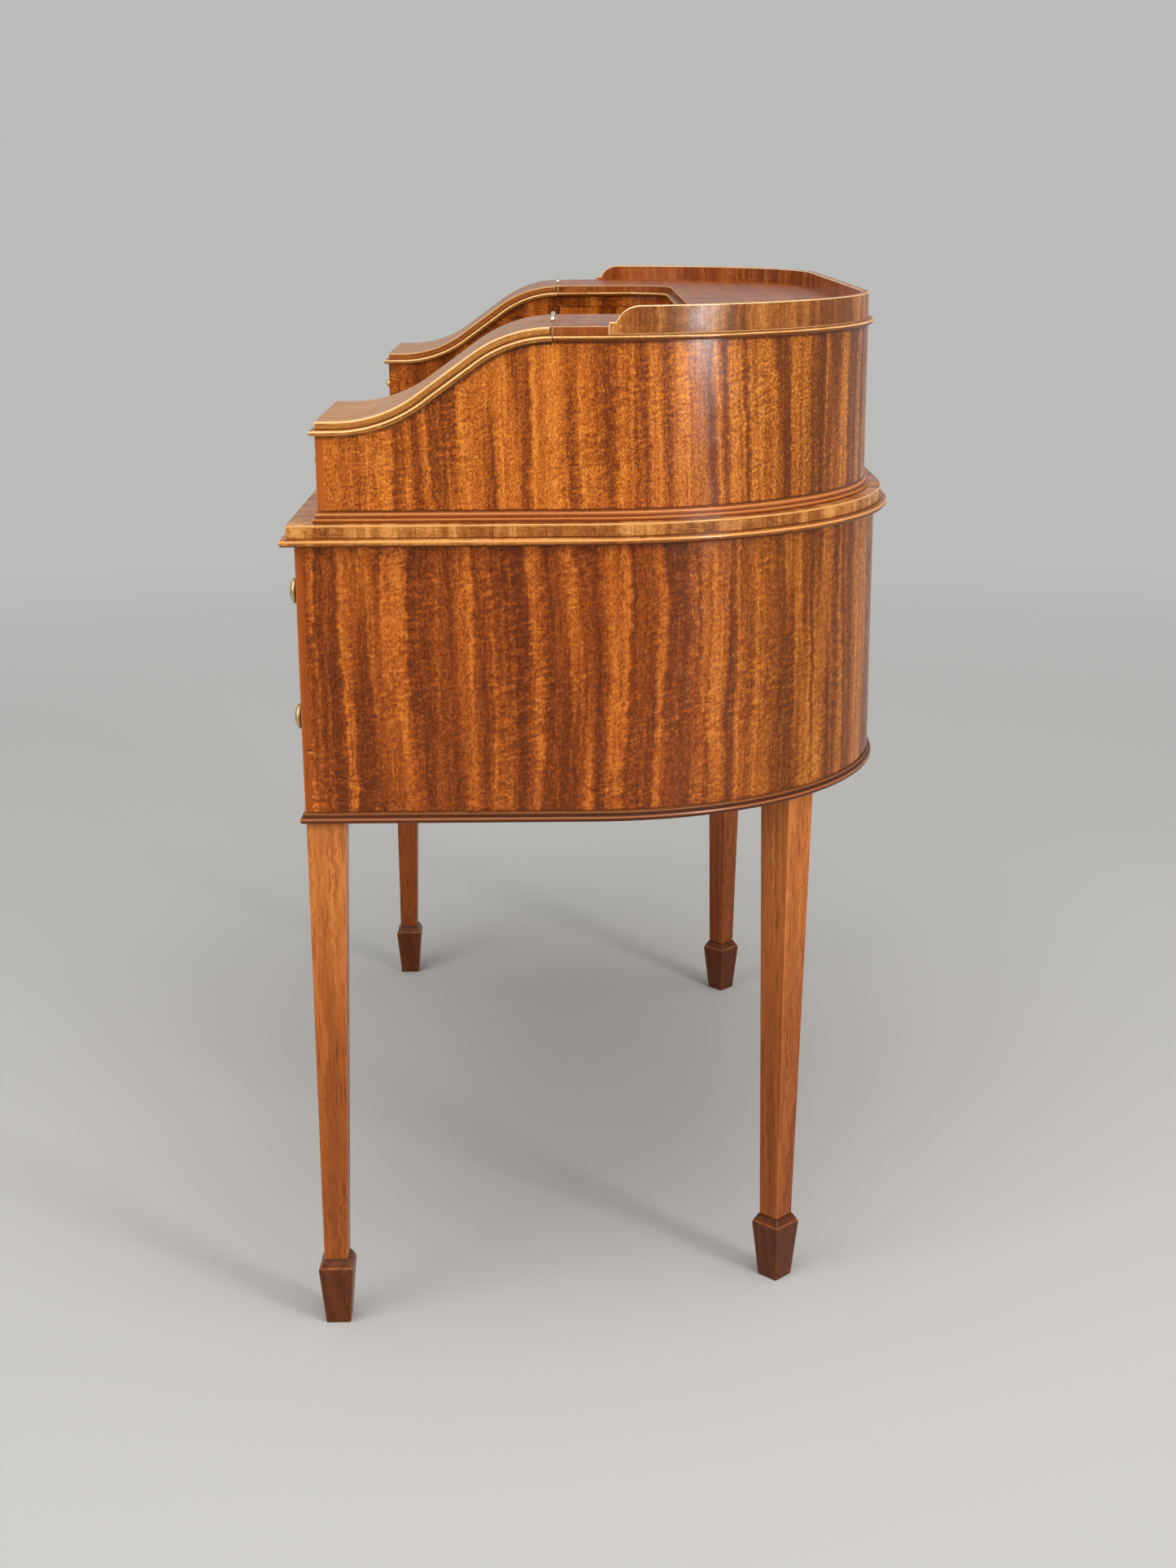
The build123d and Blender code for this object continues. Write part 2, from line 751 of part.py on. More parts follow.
def hinge_leaf(side, back, spans, others):
    """One leaf of a lid hinge with its knuckles, bored for the pin."""
    low = hinge_middle(side) - hinge_length / 2
    high = hinge_middle(side) + hinge_length / 2
    near = hinge_y + back * hinge_leaf_gap / 2
    far = near + back * hinge_leaf_thickness
    block((low, near, upper_top - hinge_leaf_depth), (high, far, hinge_axis_z))
    for x0, x1 in others:
        room = hinge_knuckle_gap
        block((x0 - room, hinge_y - overrun, upper_top - hinge_barrel_gap),
              (x1 + room, hinge_y + overrun, upper_top + overrun), Mode.SUBTRACT)
    for x0, x1 in spans:
        rod_x(x0, x1, hinge_y, hinge_axis_z, hinge_barrel_radius)
    for x0, x1 in spans + others:
        rod_x(x0 - hinge_knuckle_gap, x1 + hinge_knuckle_gap, hinge_y, hinge_axis_z,
              hinge_pin_radius + running_clearance, Mode.SUBTRACT)


def make_lid_hinge_fixed():
    """Both hinges' fixed leaves with their end knuckles, and the ball-tipped pins."""
    with BuildPart() as lid_hinge_fixed:
        for side in sides.values():
            fixed, moving = hinge_spans(side)
            hinge_leaf(side, 1, fixed, moving)
        for side in sides.values():
            low = hinge_middle(side) - hinge_length / 2 - hinge_knuckle_gap
            high = hinge_middle(side) + hinge_length / 2 + hinge_knuckle_gap
            rod_x(low - hinge_ball_radius, high + hinge_ball_radius, hinge_y, hinge_axis_z,
                  hinge_pin_radius)
            for x in (low - hinge_ball_radius, high + hinge_ball_radius):
                with Locations((x, hinge_y, hinge_axis_z)):
                    Sphere(hinge_ball_radius)
    keep(lid_hinge_fixed, "lid_hinge_fixed")


def make_lid_hinge_leaf(name, side):
    """The hinge leaf let into a lid, with the middle knuckle."""
    fixed, moving = hinge_spans(side)
    with BuildPart() as lid_hinge_leaf:
        hinge_leaf(side, -1, moving, fixed)
    keep(lid_hinge_leaf, name)


# Corner doors

def make_door(name, side):
    """A curved cupboard door, bored at both ends for its pivot pins."""
    with BuildPart() as door:
        extrude(door_plan(door_low), amount=door_high - door_low)
        for z in (door_low, door_high - door_pin_grip):
            with Locations((*door_pivot(1), z)):
                Cylinder(door_pin_radius + running_clearance, door_pin_grip,
                         align=(Align.CENTER, Align.CENTER, Align.MIN), mode=Mode.SUBTRACT)
        if side < 0:
            mirror(about=Plane.YZ)
            block((0, front_y - overrun, 0), (case_width, back_y, upper_top), Mode.SUBTRACT)
    keep(door, name)


def make_door_pins():
    """The pivot pins at the foot and head of both doors, sunk in the board and the rail."""
    length = 2 * door_pin_grip + door_gap - 2 * seat_gap
    with BuildPart() as door_pins:
        for side in sides.values():
            for z in (base_top - door_pin_grip, frieze_z + door_pin_grip - length):
                with Locations((*door_pivot(side), z)):
                    Cylinder(door_pin_radius, length,
                             align=(Align.CENTER, Align.CENTER, Align.MIN))
    keep(door_pins, "door_pins")


# Knobs

def make_knob(name, place, outward):
    """A small turned brass knob, standing out from a face in some direction."""
    stem_length = knob_length - knob_radius
    with BuildPart() as knob:
        with Locations(Plane(origin=place, z_dir=outward)):
            Cylinder(knob_collar_radius, knob_collar_length,
                     align=(Align.CENTER, Align.CENTER, Align.MIN))
            Cylinder(knob_stem_radius, stem_length,
                     align=(Align.CENTER, Align.CENTER, Align.MIN))
            with Locations((0, 0, stem_length)):
                Sphere(knob_radius)
    keep(knob, name)


def make_large_knobs(name, places):
    """Turned knobs with a collar, a narrow waist and a wide head with a domed face."""
    head = large_knob_radius
    high = large_knob_reach - large_knob_dome
    low = high - large_knob_rim
    dome_radius = (head ** 2 + large_knob_dome ** 2) / (2 * large_knob_dome)
    collar = (large_knob_collar_radius, large_knob_collar_height)
    waist = (large_knob_waist_radius, large_knob_waist_height)
    with BuildPart() as large_knobs:
        for place in places:
            with BuildSketch(Plane(origin=place, x_dir=(1, 0, 0), z_dir=(0, 0, -1))) as profile:
                with BuildLine():
                    Line((0, 0), (large_knob_collar_radius, 0))
                    Line((large_knob_collar_radius, 0), collar)
                    ThreePointArc(collar, waist, (head, low))
                    Line((head, low), (head, high))
                    RadiusArc((head, high), (0, large_knob_reach), -dome_radius)
                    Line((0, large_knob_reach), (0, 0))
                make_face()
                fillet(profile.vertices().group_by(Axis.X)[-1], large_knob_edge_round)
            revolve(axis=Axis(place, (0, -1, 0)))
    keep(large_knobs, name)


# Drawers

def make_drawer(name, low, high, sizes, face_y):
    """A drawer in an opening: its front and, behind it, two sides, a back and a bottom."""
    front, board, relief, bottom, lift, top_relief, length = sizes
    x0, z0 = low[0] + drawer_gap, low[1] + drawer_gap
    x1, z1 = high[0] - drawer_gap, high[1] - drawer_gap
    box_x0, box_x1 = x0 + relief, x1 - relief
    box_z0, box_z1 = low[1] + seat_gap, high[1] - top_relief
    near = face_y + front + glue_gap
    far = face_y + length
    floor = box_z0 + lift
    with BuildPart() as drawer:
        block((x0, face_y, z0), (x1, face_y + front, z1))
        block((box_x0, near, box_z0), (box_x0 + board, far, box_z1))
        block((box_x1 - board, near, box_z0), (box_x1, far, box_z1))
        inner_x0, inner_x1 = box_x0 + board + glue_gap, box_x1 - board - glue_gap
        block((inner_x0, near, floor), (inner_x1, far, floor + bottom))
        block((inner_x0, far - board, floor + bottom + glue_gap), (inner_x1, far, box_z1))
    keep(drawer, name)


def curved_limit(x, wall, inset):
    """How far back a square corner at some X may reach inside the bent wall."""
    radius = corner_radius - inset - wall
    across = max(abs(x) - corner_x, 0)
    return corner_y + sqrt(radius ** 2 - across ** 2)


def middle_of(low, high, face_y, share=0.5):
    """A point on a drawer's face, in its middle, at some share of its height."""
    return ((low[0] + high[0]) / 2, face_y, low[1] + share * (high[1] - low[1]))


large_box_x = case_inside - drawer_gap - drawer_side_relief
stack_length = curved_limit(large_box_x, case_wall, 0) - drawer_back_gap - front_y
large_sizes = (drawer_front, drawer_board, drawer_side_relief, drawer_bottom,
               drawer_bottom_lift, drawer_top_relief)
small_sizes = (small_drawer_front, small_drawer_board, small_drawer_side_relief,
               small_drawer_bottom, small_drawer_bottom_lift, small_drawer_top_relief)


def large_openings():
    """The openings for the five large drawers: low and high corner in X and Z, and length."""
    inner = knee_half + knee_wall
    openings = {"drawer_centre": ((-knee_half, divider_top), (knee_half, rail_z),
                                  centre_drawer_length)}
    for word, side in sides.items():
        x0, x1 = sorted((side * inner, side * case_inside))
        openings[f"drawer_upper_{word}"] = ((x0, divider_top), (x1, rail_z), stack_length)
        openings[f"drawer_lower_{word}"] = ((x0, case_floor), (x1, divider_z), stack_length)
    return openings


def large_knob_places(name, low, high):
    """Where a large drawer's knobs sit: two on the wide centre drawer, else one."""
    x, y, z = middle_of(low, high, front_y)
    if name == "drawer_centre":
        return [(x + side * centre_knob_spacing / 2, y, z) for side in sides.values()]
    return [(x, y, z)]


def make_large_drawers():
    """The five drawers of the lower case with their knobs."""
    for name, (low, high, length) in large_openings().items():
        make_drawer(name, low, high, (*large_sizes, length), front_y)
        make_large_knobs(name.replace("drawer", "large_knob"), large_knob_places(name, low, high))


def wing_opening(side):
    """The opening in the front of a wing, below its lidded box."""
    low_x, high_x = sorted((side * (wing_inner + inner_wall), side * (wing_outer - upper_wall)))
    return (low_x, base_top), (high_x, lid_floor_z)


def make_wing_drawers():
    """The small drawer in the front of each wing, with its knob."""
    length = partition_front - drawer_back_gap - wing_front
    for word, side in sides.items():
        low, high = wing_opening(side)
        make_drawer(f"wing_drawer_{word}", low, high, (*small_sizes, length), wing_front)
        make_knob(f"wing_knob_{word}", middle_of(low, high, wing_front, wing_knob_height_share),
                  (0, -1, 0))


def bank_opening(bay):
    """The opening for one small drawer of the bank, counted from the left."""
    x = -bank_half + bay * (bay_width + bank_upright)
    return (x, base_top), (x + bay_width, shelf_z)


def make_bank_drawers():
    """The row of small drawers behind the writing surface, with their knobs."""
    length = curved_limit(bank_half, upper_wall, upper_inset) - drawer_back_gap - well_back
    for bay in range(bank_bays):
        low, high = bank_opening(bay)
        make_drawer(f"bank_drawer_{bay + 1}", low, high, (*small_sizes, length), well_back)
        make_knob(f"bank_knob_{bay + 1}", middle_of(low, high, well_back), (0, -1, 0))


def make_doors():
    """Both corner doors with their knobs."""
    height = door_low + door_knob_height_share * (door_high - door_low)
    for word, side in sides.items():
        make_door(f"corner_door_{word}", side)
        make_knob(f"door_knob_{word}", (side * wing_inner, door_knob_y, height), (-side, 0, 0))


def make_lids():
    """Both lids with their beads and hinge leaves."""
    for word, side in sides.items():
        make_lid(f"lid_{word}", side)
        make_lid_bead(f"lid_bead_{word}", side)
        make_lid_hinge_leaf(f"lid_hinge_leaf_{word}", side)


def make_legs():
    """The two straight-set front legs and the two turned back legs."""
    for word, side in sides.items():
        make_leg(f"leg_front_{word}", front_leg_places(side), 0)
        make_leg(f"leg_back_{word}", back_leg_places(side), back_leg_turn)


def main():
    os.makedirs("parts", exist_ok=True)
    make_case_rim()
    make_kneehole_sides()
    make_case_bottoms()
    make_drawer_rails()
    make_bottom_moulding()
    make_legs()
    make_spade_feet()
    make_desk_top()
    make_top_bead()
    make_writing_leather()
    make_base_board()
    make_upper_rim()
    make_wing_inner_sides()
    make_wing_dividers()
    make_bank_dividers()
    make_inner_frieze()
    make_upper_top()
    make_cornice_bead()
    make_gallery()
    make_lid_hinge_fixed()
    make_lids()
    make_door_pins()
    make_doors()
    make_large_drawers()
    make_wing_drawers()
    make_bank_drawers()


main()
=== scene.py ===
from math import cos, radians, sin

import bpy
from mathutils import Matrix, Vector


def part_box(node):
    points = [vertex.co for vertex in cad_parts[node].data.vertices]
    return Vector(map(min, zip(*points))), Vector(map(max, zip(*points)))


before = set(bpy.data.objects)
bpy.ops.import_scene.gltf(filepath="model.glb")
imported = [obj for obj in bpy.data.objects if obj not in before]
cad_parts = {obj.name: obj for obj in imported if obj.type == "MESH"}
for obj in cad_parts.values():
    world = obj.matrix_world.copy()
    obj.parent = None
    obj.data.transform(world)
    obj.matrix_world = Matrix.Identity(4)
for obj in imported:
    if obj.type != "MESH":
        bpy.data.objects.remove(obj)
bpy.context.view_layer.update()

# Sizes of the desk in metres, as in the model.
MM = 0.001
CORNER_RADIUS = 276 * MM
WELL_RADIUS = 57 * MM
INNER_WALL = 10 * MM
LID_BEND = 120 * MM
LID_SLOPE = radians(35.5)
BEAD = 5 * MM
TOP_BEAD = 6.5 * MM
BOTTOM_BEAD = 6 * MM
FOOT_SHOULDER = 7.4 * MM
DRAWER_FRONT = 18 * MM
SMALL_DRAWER_FRONT = 12 * MM
LEATHER_CORNER = 36 * MM

# Widths of the veneer's bands and lines.
LIPPING = 7 * MM
CROSSBAND = 22 * MM
FRONT_BAND = 13 * MM
STRING = 1.3 * MM

# Places read from the frame.
case_low, case_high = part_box("case_rim")
top_low, top_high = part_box("desk_top")
lid_low, lid_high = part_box("lid_left")
HALF_WIDTH = case_high.x
CORNER_X = HALF_WIDTH - CORNER_RADIUS
CORNER_Y = case_high.y - CORNER_RADIUS
TOP_OVERHANG = top_high.x - HALF_WIDTH
GALLERY_RADIUS = CORNER_RADIUS - (HALF_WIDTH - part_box("gallery")[1].x)
DESK_Z = top_high.z
CASE_LOW_Z, CASE_TOP_Z = case_low.z, case_high.z
MOULDING_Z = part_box("bottom_moulding")[0].z
CORNICE_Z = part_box("cornice_bead")[0].z
BASE_TOP_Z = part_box("base_board")[1].z
NECK_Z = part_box("spade_feet")[1].z
UPPER_FRONT_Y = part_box("upper_rim")[0].y
LID_FRONT_Y, LID_HINGE_Y = lid_low.y, lid_high.y
LID_LOW_Z, LID_HIGH_Z = lid_low.z, lid_high.z
LID_THICKNESS = LID_HIGH_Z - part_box("upper_top")[0].z
LID_FRONT_Z = LID_LOW_Z + LID_THICKNESS
WELL_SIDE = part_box("wing_inner_sides")[1].x - INNER_WALL
WELL_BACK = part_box("bank_drawer_1")[0].y
GOLDEN_FROM, GOLDEN_TO = CORNER_Y + 50 * MM, CORNER_Y + 190 * MM

SIDES = ("left", "right")

# The photograph's frame and the camera that was fitted to it.
PHOTO_WIDTH, PHOTO_HEIGHT = 1445, 1927
FOCAL_PIXELS = 2672
SENSOR = 36
CAMERA_PLACE = (2.34905, -0.02143, 1.03864)
CAMERA_YAW = 0.0061
CAMERA_PITCH = 0.26774
CAMERA_ROLL = -0.00601

# The pale surround and the floor that fades into it, from a near to a far distance.
SURROUND = (0.50, 0.50, 0.49)
DAYLIGHT = (0.97, 0.98, 1)
DAYLIGHT_STRENGTH = 0.34
FLOOR_COLOUR = (0.54, 0.53, 0.51)
FLOOR_NEAR, FLOOR_FAR, FLOOR_HALF = 1.5, 4.2, 60
SUN_TOWARD = (-0.55, -0.10, -1.0)
SUN_STRENGTH, SUN_SPREAD = 1.25, radians(75)

# Colours beside those of the woods, linear.
LIPPING_RED = (0.36, 0.080, 0.016)
JOINT_SHADOW = (0.02, 0.006, 0.002)
STRING_COLOUR = (0.62, 0.40, 0.17)
GOLDEN_BRASS = (0.88, 0.64, 0.30)
WORN_BRASS = (0.90, 0.85, 0.74)
TARNISH = (0.20, 0.10, 0.035)
GILT = (0.72, 0.50, 0.20)
HIDE = [(0.3, (0.012, 0.040, 0.022)), (0.55, (0.020, 0.062, 0.034)), (0.8, (0.036, 0.088, 0.047))]


# Camera, floor and lamps

def link(thing):
    bpy.context.scene.collection.objects.link(thing)


def make_camera():
    """The camera at the photograph's viewing angle: it looks along -X and a little down."""
    forward = Vector((-cos(CAMERA_PITCH) * cos(CAMERA_YAW), cos(CAMERA_PITCH) * sin(CAMERA_YAW),
                      -sin(CAMERA_PITCH)))
    level = forward.cross(Vector((0, 0, 1))).normalized()
    upright = level.cross(forward)
    right = cos(CAMERA_ROLL) * level + sin(CAMERA_ROLL) * upright
    up = cos(CAMERA_ROLL) * upright - sin(CAMERA_ROLL) * level
    data = bpy.data.cameras.new("camera")
    data.sensor_width = SENSOR
    data.lens = FOCAL_PIXELS * SENSOR / max(PHOTO_WIDTH, PHOTO_HEIGHT)
    data.dof.use_dof = False
    camera = bpy.data.objects.new("camera", data)
    turn = Matrix((right, up, -forward)).transposed().to_4x4()
    camera.matrix_world = Matrix.Translation(CAMERA_PLACE) @ turn
    link(camera)
    bpy.context.scene.camera = camera


def make_world():
    """An even surround: plain as a source of light, and pale to the eye and in reflections."""
    world = bpy.data.worlds.new("surround")
    world.use_nodes = True
    world.node_tree.nodes.clear()
    bpy.context.scene.world = world
    shader = Shader(world.node_tree)
    lit = shader.node("Background", {"Color": (*DAYLIGHT, 1), "Strength": DAYLIGHT_STRENGTH})
    shown = shader.node("Background", {"Color": (*SURROUND, 1), "Strength": 1})
    shader.output("World", shader.blend_surfaces(shader.seen(), lit, shown))


def make_floor():
    """A plain pale floor that keeps the desk's shadow and fades into the surround."""
    mesh = bpy.data.meshes.new("floor")
    corners = [(x * FLOOR_HALF, y * FLOOR_HALF, 0) for x, y in ((-1, -1), (1, -1), (1, 1), (-1, 1))]
    mesh.from_pydata(corners, [], [(0, 1, 2, 3)])
    floor = bpy.data.objects.new("floor", mesh)
    link(floor)
    material, shader = new_material("floor")
    from_desk = shader.node("VectorMath", {0: shader.object_place()}, operation="LENGTH")
    far = shader.step(from_desk.outputs["Value"], FLOOR_NEAR, FLOOR_FAR)
    plain = shader.node("BsdfPrincipled", {"Base Color": (*FLOOR_COLOUR, 1), "Roughness": 0.9,
                                           "Specular IOR Level": 0.1})
    faded = shader.node("Emission", {"Color": (*SURROUND, 1), "Strength": 1})
    shader.output("Material", shader.blend_surfaces(shader.times(far, shader.seen()), plain, faded))
    mesh.materials.append(material)


def make_sun():
    """A very soft sun from high on the camera's side, which also lights the whole floor."""
    data = bpy.data.lights.new("lamp_sky", "SUN")
    data.energy = SUN_STRENGTH
    data.angle = SUN_SPREAD
    lamp = bpy.data.objects.new("lamp_sky", data)
    lamp.matrix_world = Vector(SUN_TOWARD).to_track_quat("-Z", "Y").to_matrix().to_4x4()
    link(lamp)


def make_lamp(name, place, target, size, power, sheen_only=False):
    """A soft rectangular lamp that faces a target. It may show in the polish alone."""
    data = bpy.data.lights.new(name, "AREA")
    data.shape = "RECTANGLE"
    data.size, data.size_y = size
    data.energy = power
    lamp = bpy.data.objects.new(name, data)
    lamp.visible_diffuse = not sheen_only
    aim = Vector(target) - Vector(place)
    turn = aim.to_track_quat("-Z", "Y").to_matrix().to_4x4()
    lamp.matrix_world = Matrix.Translation(place) @ turn
    link(lamp)


def make_lamps():
    """Soft studio light from above and from both sides of the camera, one side like a window."""
    make_sun()
    make_lamp("lamp_window", place=(2.6, 2.3, 1.55), target=(0.3, 0, 0.75), size=(0.62, 1.9),
              power=52)
    make_lamp("lamp_sheen", place=(2.6, 2.25, 1.55), target=(0.3, 0, 0.75), size=(0.75, 1.9),
              power=72, sheen_only=True)
    make_lamp("lamp_over", place=(0.7, 0.1, 3.0), target=(0, 0, 0.6), size=(2.2, 2.2), power=22)
    make_lamp("lamp_side", place=(2.2, -2.4, 1.9), target=(0, -0.1, 0.7), size=(1.8, 1.8),
              power=30)


# Node materials

class Shader:
    """Builds one node tree. Most methods add nodes and give back an output socket."""

    def __init__(self, tree):
        self.tree = tree

    def put(self, value, socket):
        """Set a node's socket to a plain value, or link it to another socket."""
        if isinstance(value, bpy.types.NodeSocket):
            self.tree.links.new(value, socket)
        else:
            socket.default_value = value

    def node(self, kind, inputs=None, **settings):
        """A whole node, with its settings and with its inputs by name or number."""
        made = self.tree.nodes.new("ShaderNode" + kind)
        for key, value in settings.items():
            setattr(made, key, value)
        for key, value in (inputs or {}).items():
            self.put(value, made.inputs[key])
        return made

    def math(self, operation, *values):
        return self.node("Math", dict(enumerate(values)), operation=operation).outputs[0]

    def add(self, first, *others):
        for other in others:
            first = self.math("ADD", first, other)
        return first

    def times(self, first, *others):
        for other in others:
            first = self.math("MULTIPLY", first, other)
        return first

    def minus(self, a, b):
        return self.math("SUBTRACT", a, b)

    def absolute(self, value):
        return self.math("ABSOLUTE", value)

    def apart(self, a, b):
        """How far two numbers are from each other."""
        return self.absolute(self.minus(a, b))

    def larger(self, a, b):
        return self.math("MAXIMUM", a, b)

    def smaller(self, a, b):
        return self.math("MINIMUM", a, b)

    def over(self, value, limit):
        """One where the value is over the limit, and zero elsewhere."""
        return self.math("GREATER_THAN", value, limit)

    def under(self, value, limit):
        """One where the value is under the limit, and zero elsewhere."""
        return self.math("LESS_THAN", value, limit)

    def length(self, a, b):
        return self.math("SQRT", self.add(self.times(a, a), self.times(b, b)))

    def seen(self):
        """One for rays that show the surround: from the camera, by reflection or through glass."""
        path = self.node("LightPath").outputs
        bent = self.larger(path["Is Glossy Ray"], path["Is Transmission Ray"])
        return self.larger(path["Is Camera Ray"], bent)

    def object_place(self):
        return self.node("TexCoord").outputs["Object"]

    def object_normal(self):
        return self.node("TexCoord").outputs["Normal"]

    def split(self, vector):
        return self.node("SeparateXYZ", {0: vector}).outputs

    def vector(self, x, y, z):
        return self.node("CombineXYZ", {0: x, 1: y, 2: z}).outputs[0]

    def scaled(self, vector, scales):
        """A place times one scale, or times one for each direction."""
        if not isinstance(scales, tuple):
            scales = (scales, scales, scales)
        return self.node("VectorMath", {0: vector, 1: scales}, operation="MULTIPLY").outputs[0]

    def noise(self, vector, scales, detail=2.0, roughness=0.5, distortion=0.0):
        made = self.node("TexNoise", {"Vector": self.scaled(vector, scales), "Scale": 1.0,
                                      "Detail": detail, "Roughness": roughness,
                                      "Distortion": distortion})
        return made.outputs["Fac"]

    def swing(self, vector, scales, **character):
        """Noise that swings about zero, by up to half either way."""
        return self.minus(self.noise(vector, scales, **character), 0.5)

    def step(self, value, low, high, out_low=0.0, out_high=1.0):
        """A smooth rise from out_low to out_high as value goes from low to high."""
        made = self.node("MapRange", {0: value, 1: low, 2: high, 3: out_low, 4: out_high},
                         interpolation_type="SMOOTHSTEP")
        return made.outputs[0]

    def blend(self, kind, factor, a, b):
        """A Mix node of one kind, from a at a factor of zero to b at one."""
        made = self.node("Mix", data_type=kind)
        for value, socket in zip((factor, a, b), [s for s in made.inputs if s.enabled]):
            self.put((*value, 1) if isinstance(value, tuple) else value, socket)
        return next(s for s in made.outputs if s.enabled)

    def mix(self, factor, a, b):
        """A mix of two numbers or two colours."""
        colours = any(isinstance(v, tuple) or getattr(v, "type", "") == "RGBA" for v in (a, b))
        return self.blend("RGBA" if colours else "FLOAT", factor, a, b)

    def mix_vector(self, factor, a, b):
        return self.blend("VECTOR", factor, a, b)

    def ramp(self, value, stops):
        """A colour for a value from 0 to 1, by way of stops that each have a place and a colour."""
        made = self.node("ValToRGB", {0: value})
        elements = made.color_ramp.elements
        while len(elements) < len(stops):
            elements.new(1.0)
        for element, (place, colour) in zip(elements, stops):
            element.position = place
            element.color = (*colour, 1)
        return made.outputs[0]

    def bump(self, height, strength, distance):
        return self.node("Bump", {"Height": height, "Strength": strength,
                                  "Distance": distance}).outputs[0]

    def blend_surfaces(self, factor, first, second):
        """A whole node that mixes the surfaces of two others."""
        return self.node("MixShader", {0: factor, 1: first.outputs[0], 2: second.outputs[0]})

    def output(self, kind, surface):
        self.node("Output" + kind, {0: surface.outputs[0]})

    def finish(self, values):
        """Join everything to a shader: constants are set on its own sockets."""
        self.output("Material", self.node("BsdfPrincipled", values))


def new_material(name):
    material = bpy.data.materials.new(name)
    material.use_nodes = True
    material.node_tree.nodes.clear()
    return material, Shader(material.node_tree)


# Measures on the desk

def along_plan(shader, x, y, centre_x, centre_y, radius):
    """How far round a round-cornered plan a point lies, signed by side, and how far out."""
    across = shader.absolute(x)
    out_x = shader.larger(shader.minus(across, centre_x), 0.0)
    out_y = shader.larger(shader.minus(y, centre_y), 0.0)
    turn = shader.math("ARCTAN2", out_x, out_y)
    straight = shader.larger(shader.minus(centre_y, y), 0.0)
    length = shader.add(shader.smaller(across, centre_x), shader.times(turn, radius), straight)
    return shader.times(shader.math("SIGN", x), length), shader.length(out_x, out_y)


def case_plan(shader, x, y):
    return along_plan(shader, x, y, CORNER_X, CORNER_Y, CORNER_RADIUS)


def lid_depth(shader, y, z):
    """How far below a lid's curved top a point lies, measured square to the curve.

    The curve is a flat front, a hollow, a slope and a crown that ends level at the hinge."""
    rise = LID_HIGH_Z - LID_FRONT_Z
    arc_run = LID_BEND * sin(LID_SLOPE)
    straight = (rise - 2 * LID_BEND * (1 - cos(LID_SLOPE))) / sin(LID_SLOPE)
    crown_y = LID_HINGE_Y - arc_run
    hollow_y = crown_y - straight * cos(LID_SLOPE)
    crown_z = LID_HIGH_Z - LID_BEND * (1 - cos(LID_SLOPE))

    def far_from(place_y, place_z):
        return shader.length(shader.minus(y, place_y), shader.minus(z, place_z))

    flat = shader.minus(LID_FRONT_Z, z)
    hollow = shader.minus(far_from(hollow_y - arc_run, LID_FRONT_Z + LID_BEND), LID_BEND)
    slope = shader.minus(shader.times(shader.minus(y, crown_y), sin(LID_SLOPE)),
                         shader.times(shader.minus(z, crown_z), cos(LID_SLOPE)))
    crown = shader.minus(LID_BEND, far_from(LID_HINGE_Y, LID_HIGH_Z - LID_BEND))
    depth = shader.mix(shader.over(y, hollow_y - arc_run), flat, hollow)
    depth = shader.mix(shader.over(y, hollow_y), depth, slope)
    return shader.mix(shader.over(y, crown_y), depth, crown)


def turned_in(shader, x):
    """One on faces that look towards the desk's middle plane, where shade is painted."""
    facing = shader.split(shader.object_normal())[0]
    return shader.under(shader.times(shader.math("SIGN", x), facing), -0.6)


def turned_up(shader):
    """How far a face is turned to look straight up or down, from 0 to 1."""
    return shader.absolute(shader.split(shader.object_normal())[2])


# Directions of the grain: each gives a place as (across the grain, along it, into the wood).

def grain_upright(shader, x, y, z):
    """Veneer on the bent walls, its grain upright."""
    along, out = case_plan(shader, x, y)
    return shader.vector(along, z, out)


def grain_crossband(shader, x, y, z):
    """Short grain that runs over an edge of the plan, square to it."""
    along, out = case_plan(shader, x, y)
    return shader.vector(along, shader.minus(out, z), 0.0)


def grain_moulding(shader, x, y, z):
    """Solid strips that follow the plan, with the grain along them."""
    along, out = case_plan(shader, x, y)
    return shader.vector(shader.add(out, z), along, shader.minus(out, z))


def grain_flat_top(shader, x, y, z):
    """The flat top: its grain runs left to right above, and over the edge round the rim."""
    edge = grain_crossband(shader, x, y, z)
    return shader.mix_vector(shader.over(turned_up(shader), 0.7), edge, shader.vector(y, x, z))


def grain_desk_top(shader, x, y, z):
    """The desk's top: left to right in the middle, with short grain in a band round the edge."""
    along, out = case_plan(shader, x, y)
    from_front = shader.minus(y, top_low.y)
    from_rim = shader.minus(CORNER_RADIUS + TOP_OVERHANG, out)
    band = shader.mix_vector(shader.under(from_front, from_rim),
                             shader.vector(along, shader.minus(out, z), 0.0),
                             shader.vector(x, shader.add(y, z), 0.0))
    middle = shader.over(shader.smaller(from_front, from_rim), CROSSBAND)
    return shader.mix_vector(middle, band, shader.vector(y, x, z))


def grain_lid(shader, x, y, z):
    """The lids: front to back, following the curve on the sides."""
    depth = lid_depth(shader, y, z)
    return shader.vector(shader.add(x, depth), y, depth)


def slanted(shader, a, b):
    """A measure across the grain that changes on faces turned either way."""
    return shader.add(a, shader.times(b, 0.5))


def grain_z(shader, x, y, z):
    """Upright boards and posts."""
    return shader.vector(slanted(shader, x, y), z, y)


def grain_x(shader, x, y, z):
    """Boards that run left to right."""
    return shader.vector(slanted(shader, z, y), x, y)


def grain_y(shader, x, y, z):
    """Boards that run front to back."""
    return shader.vector(slanted(shader, x, z), y, z)


def grain_well(shader, x, y, z):
    """The curved doors and the rail round the well, their grain upright."""
    along, out = along_plan(shader, x, y, WELL_SIDE - WELL_RADIUS, WELL_BACK - WELL_RADIUS,
                            WELL_RADIUS)
    return shader.vector(along, z, out)


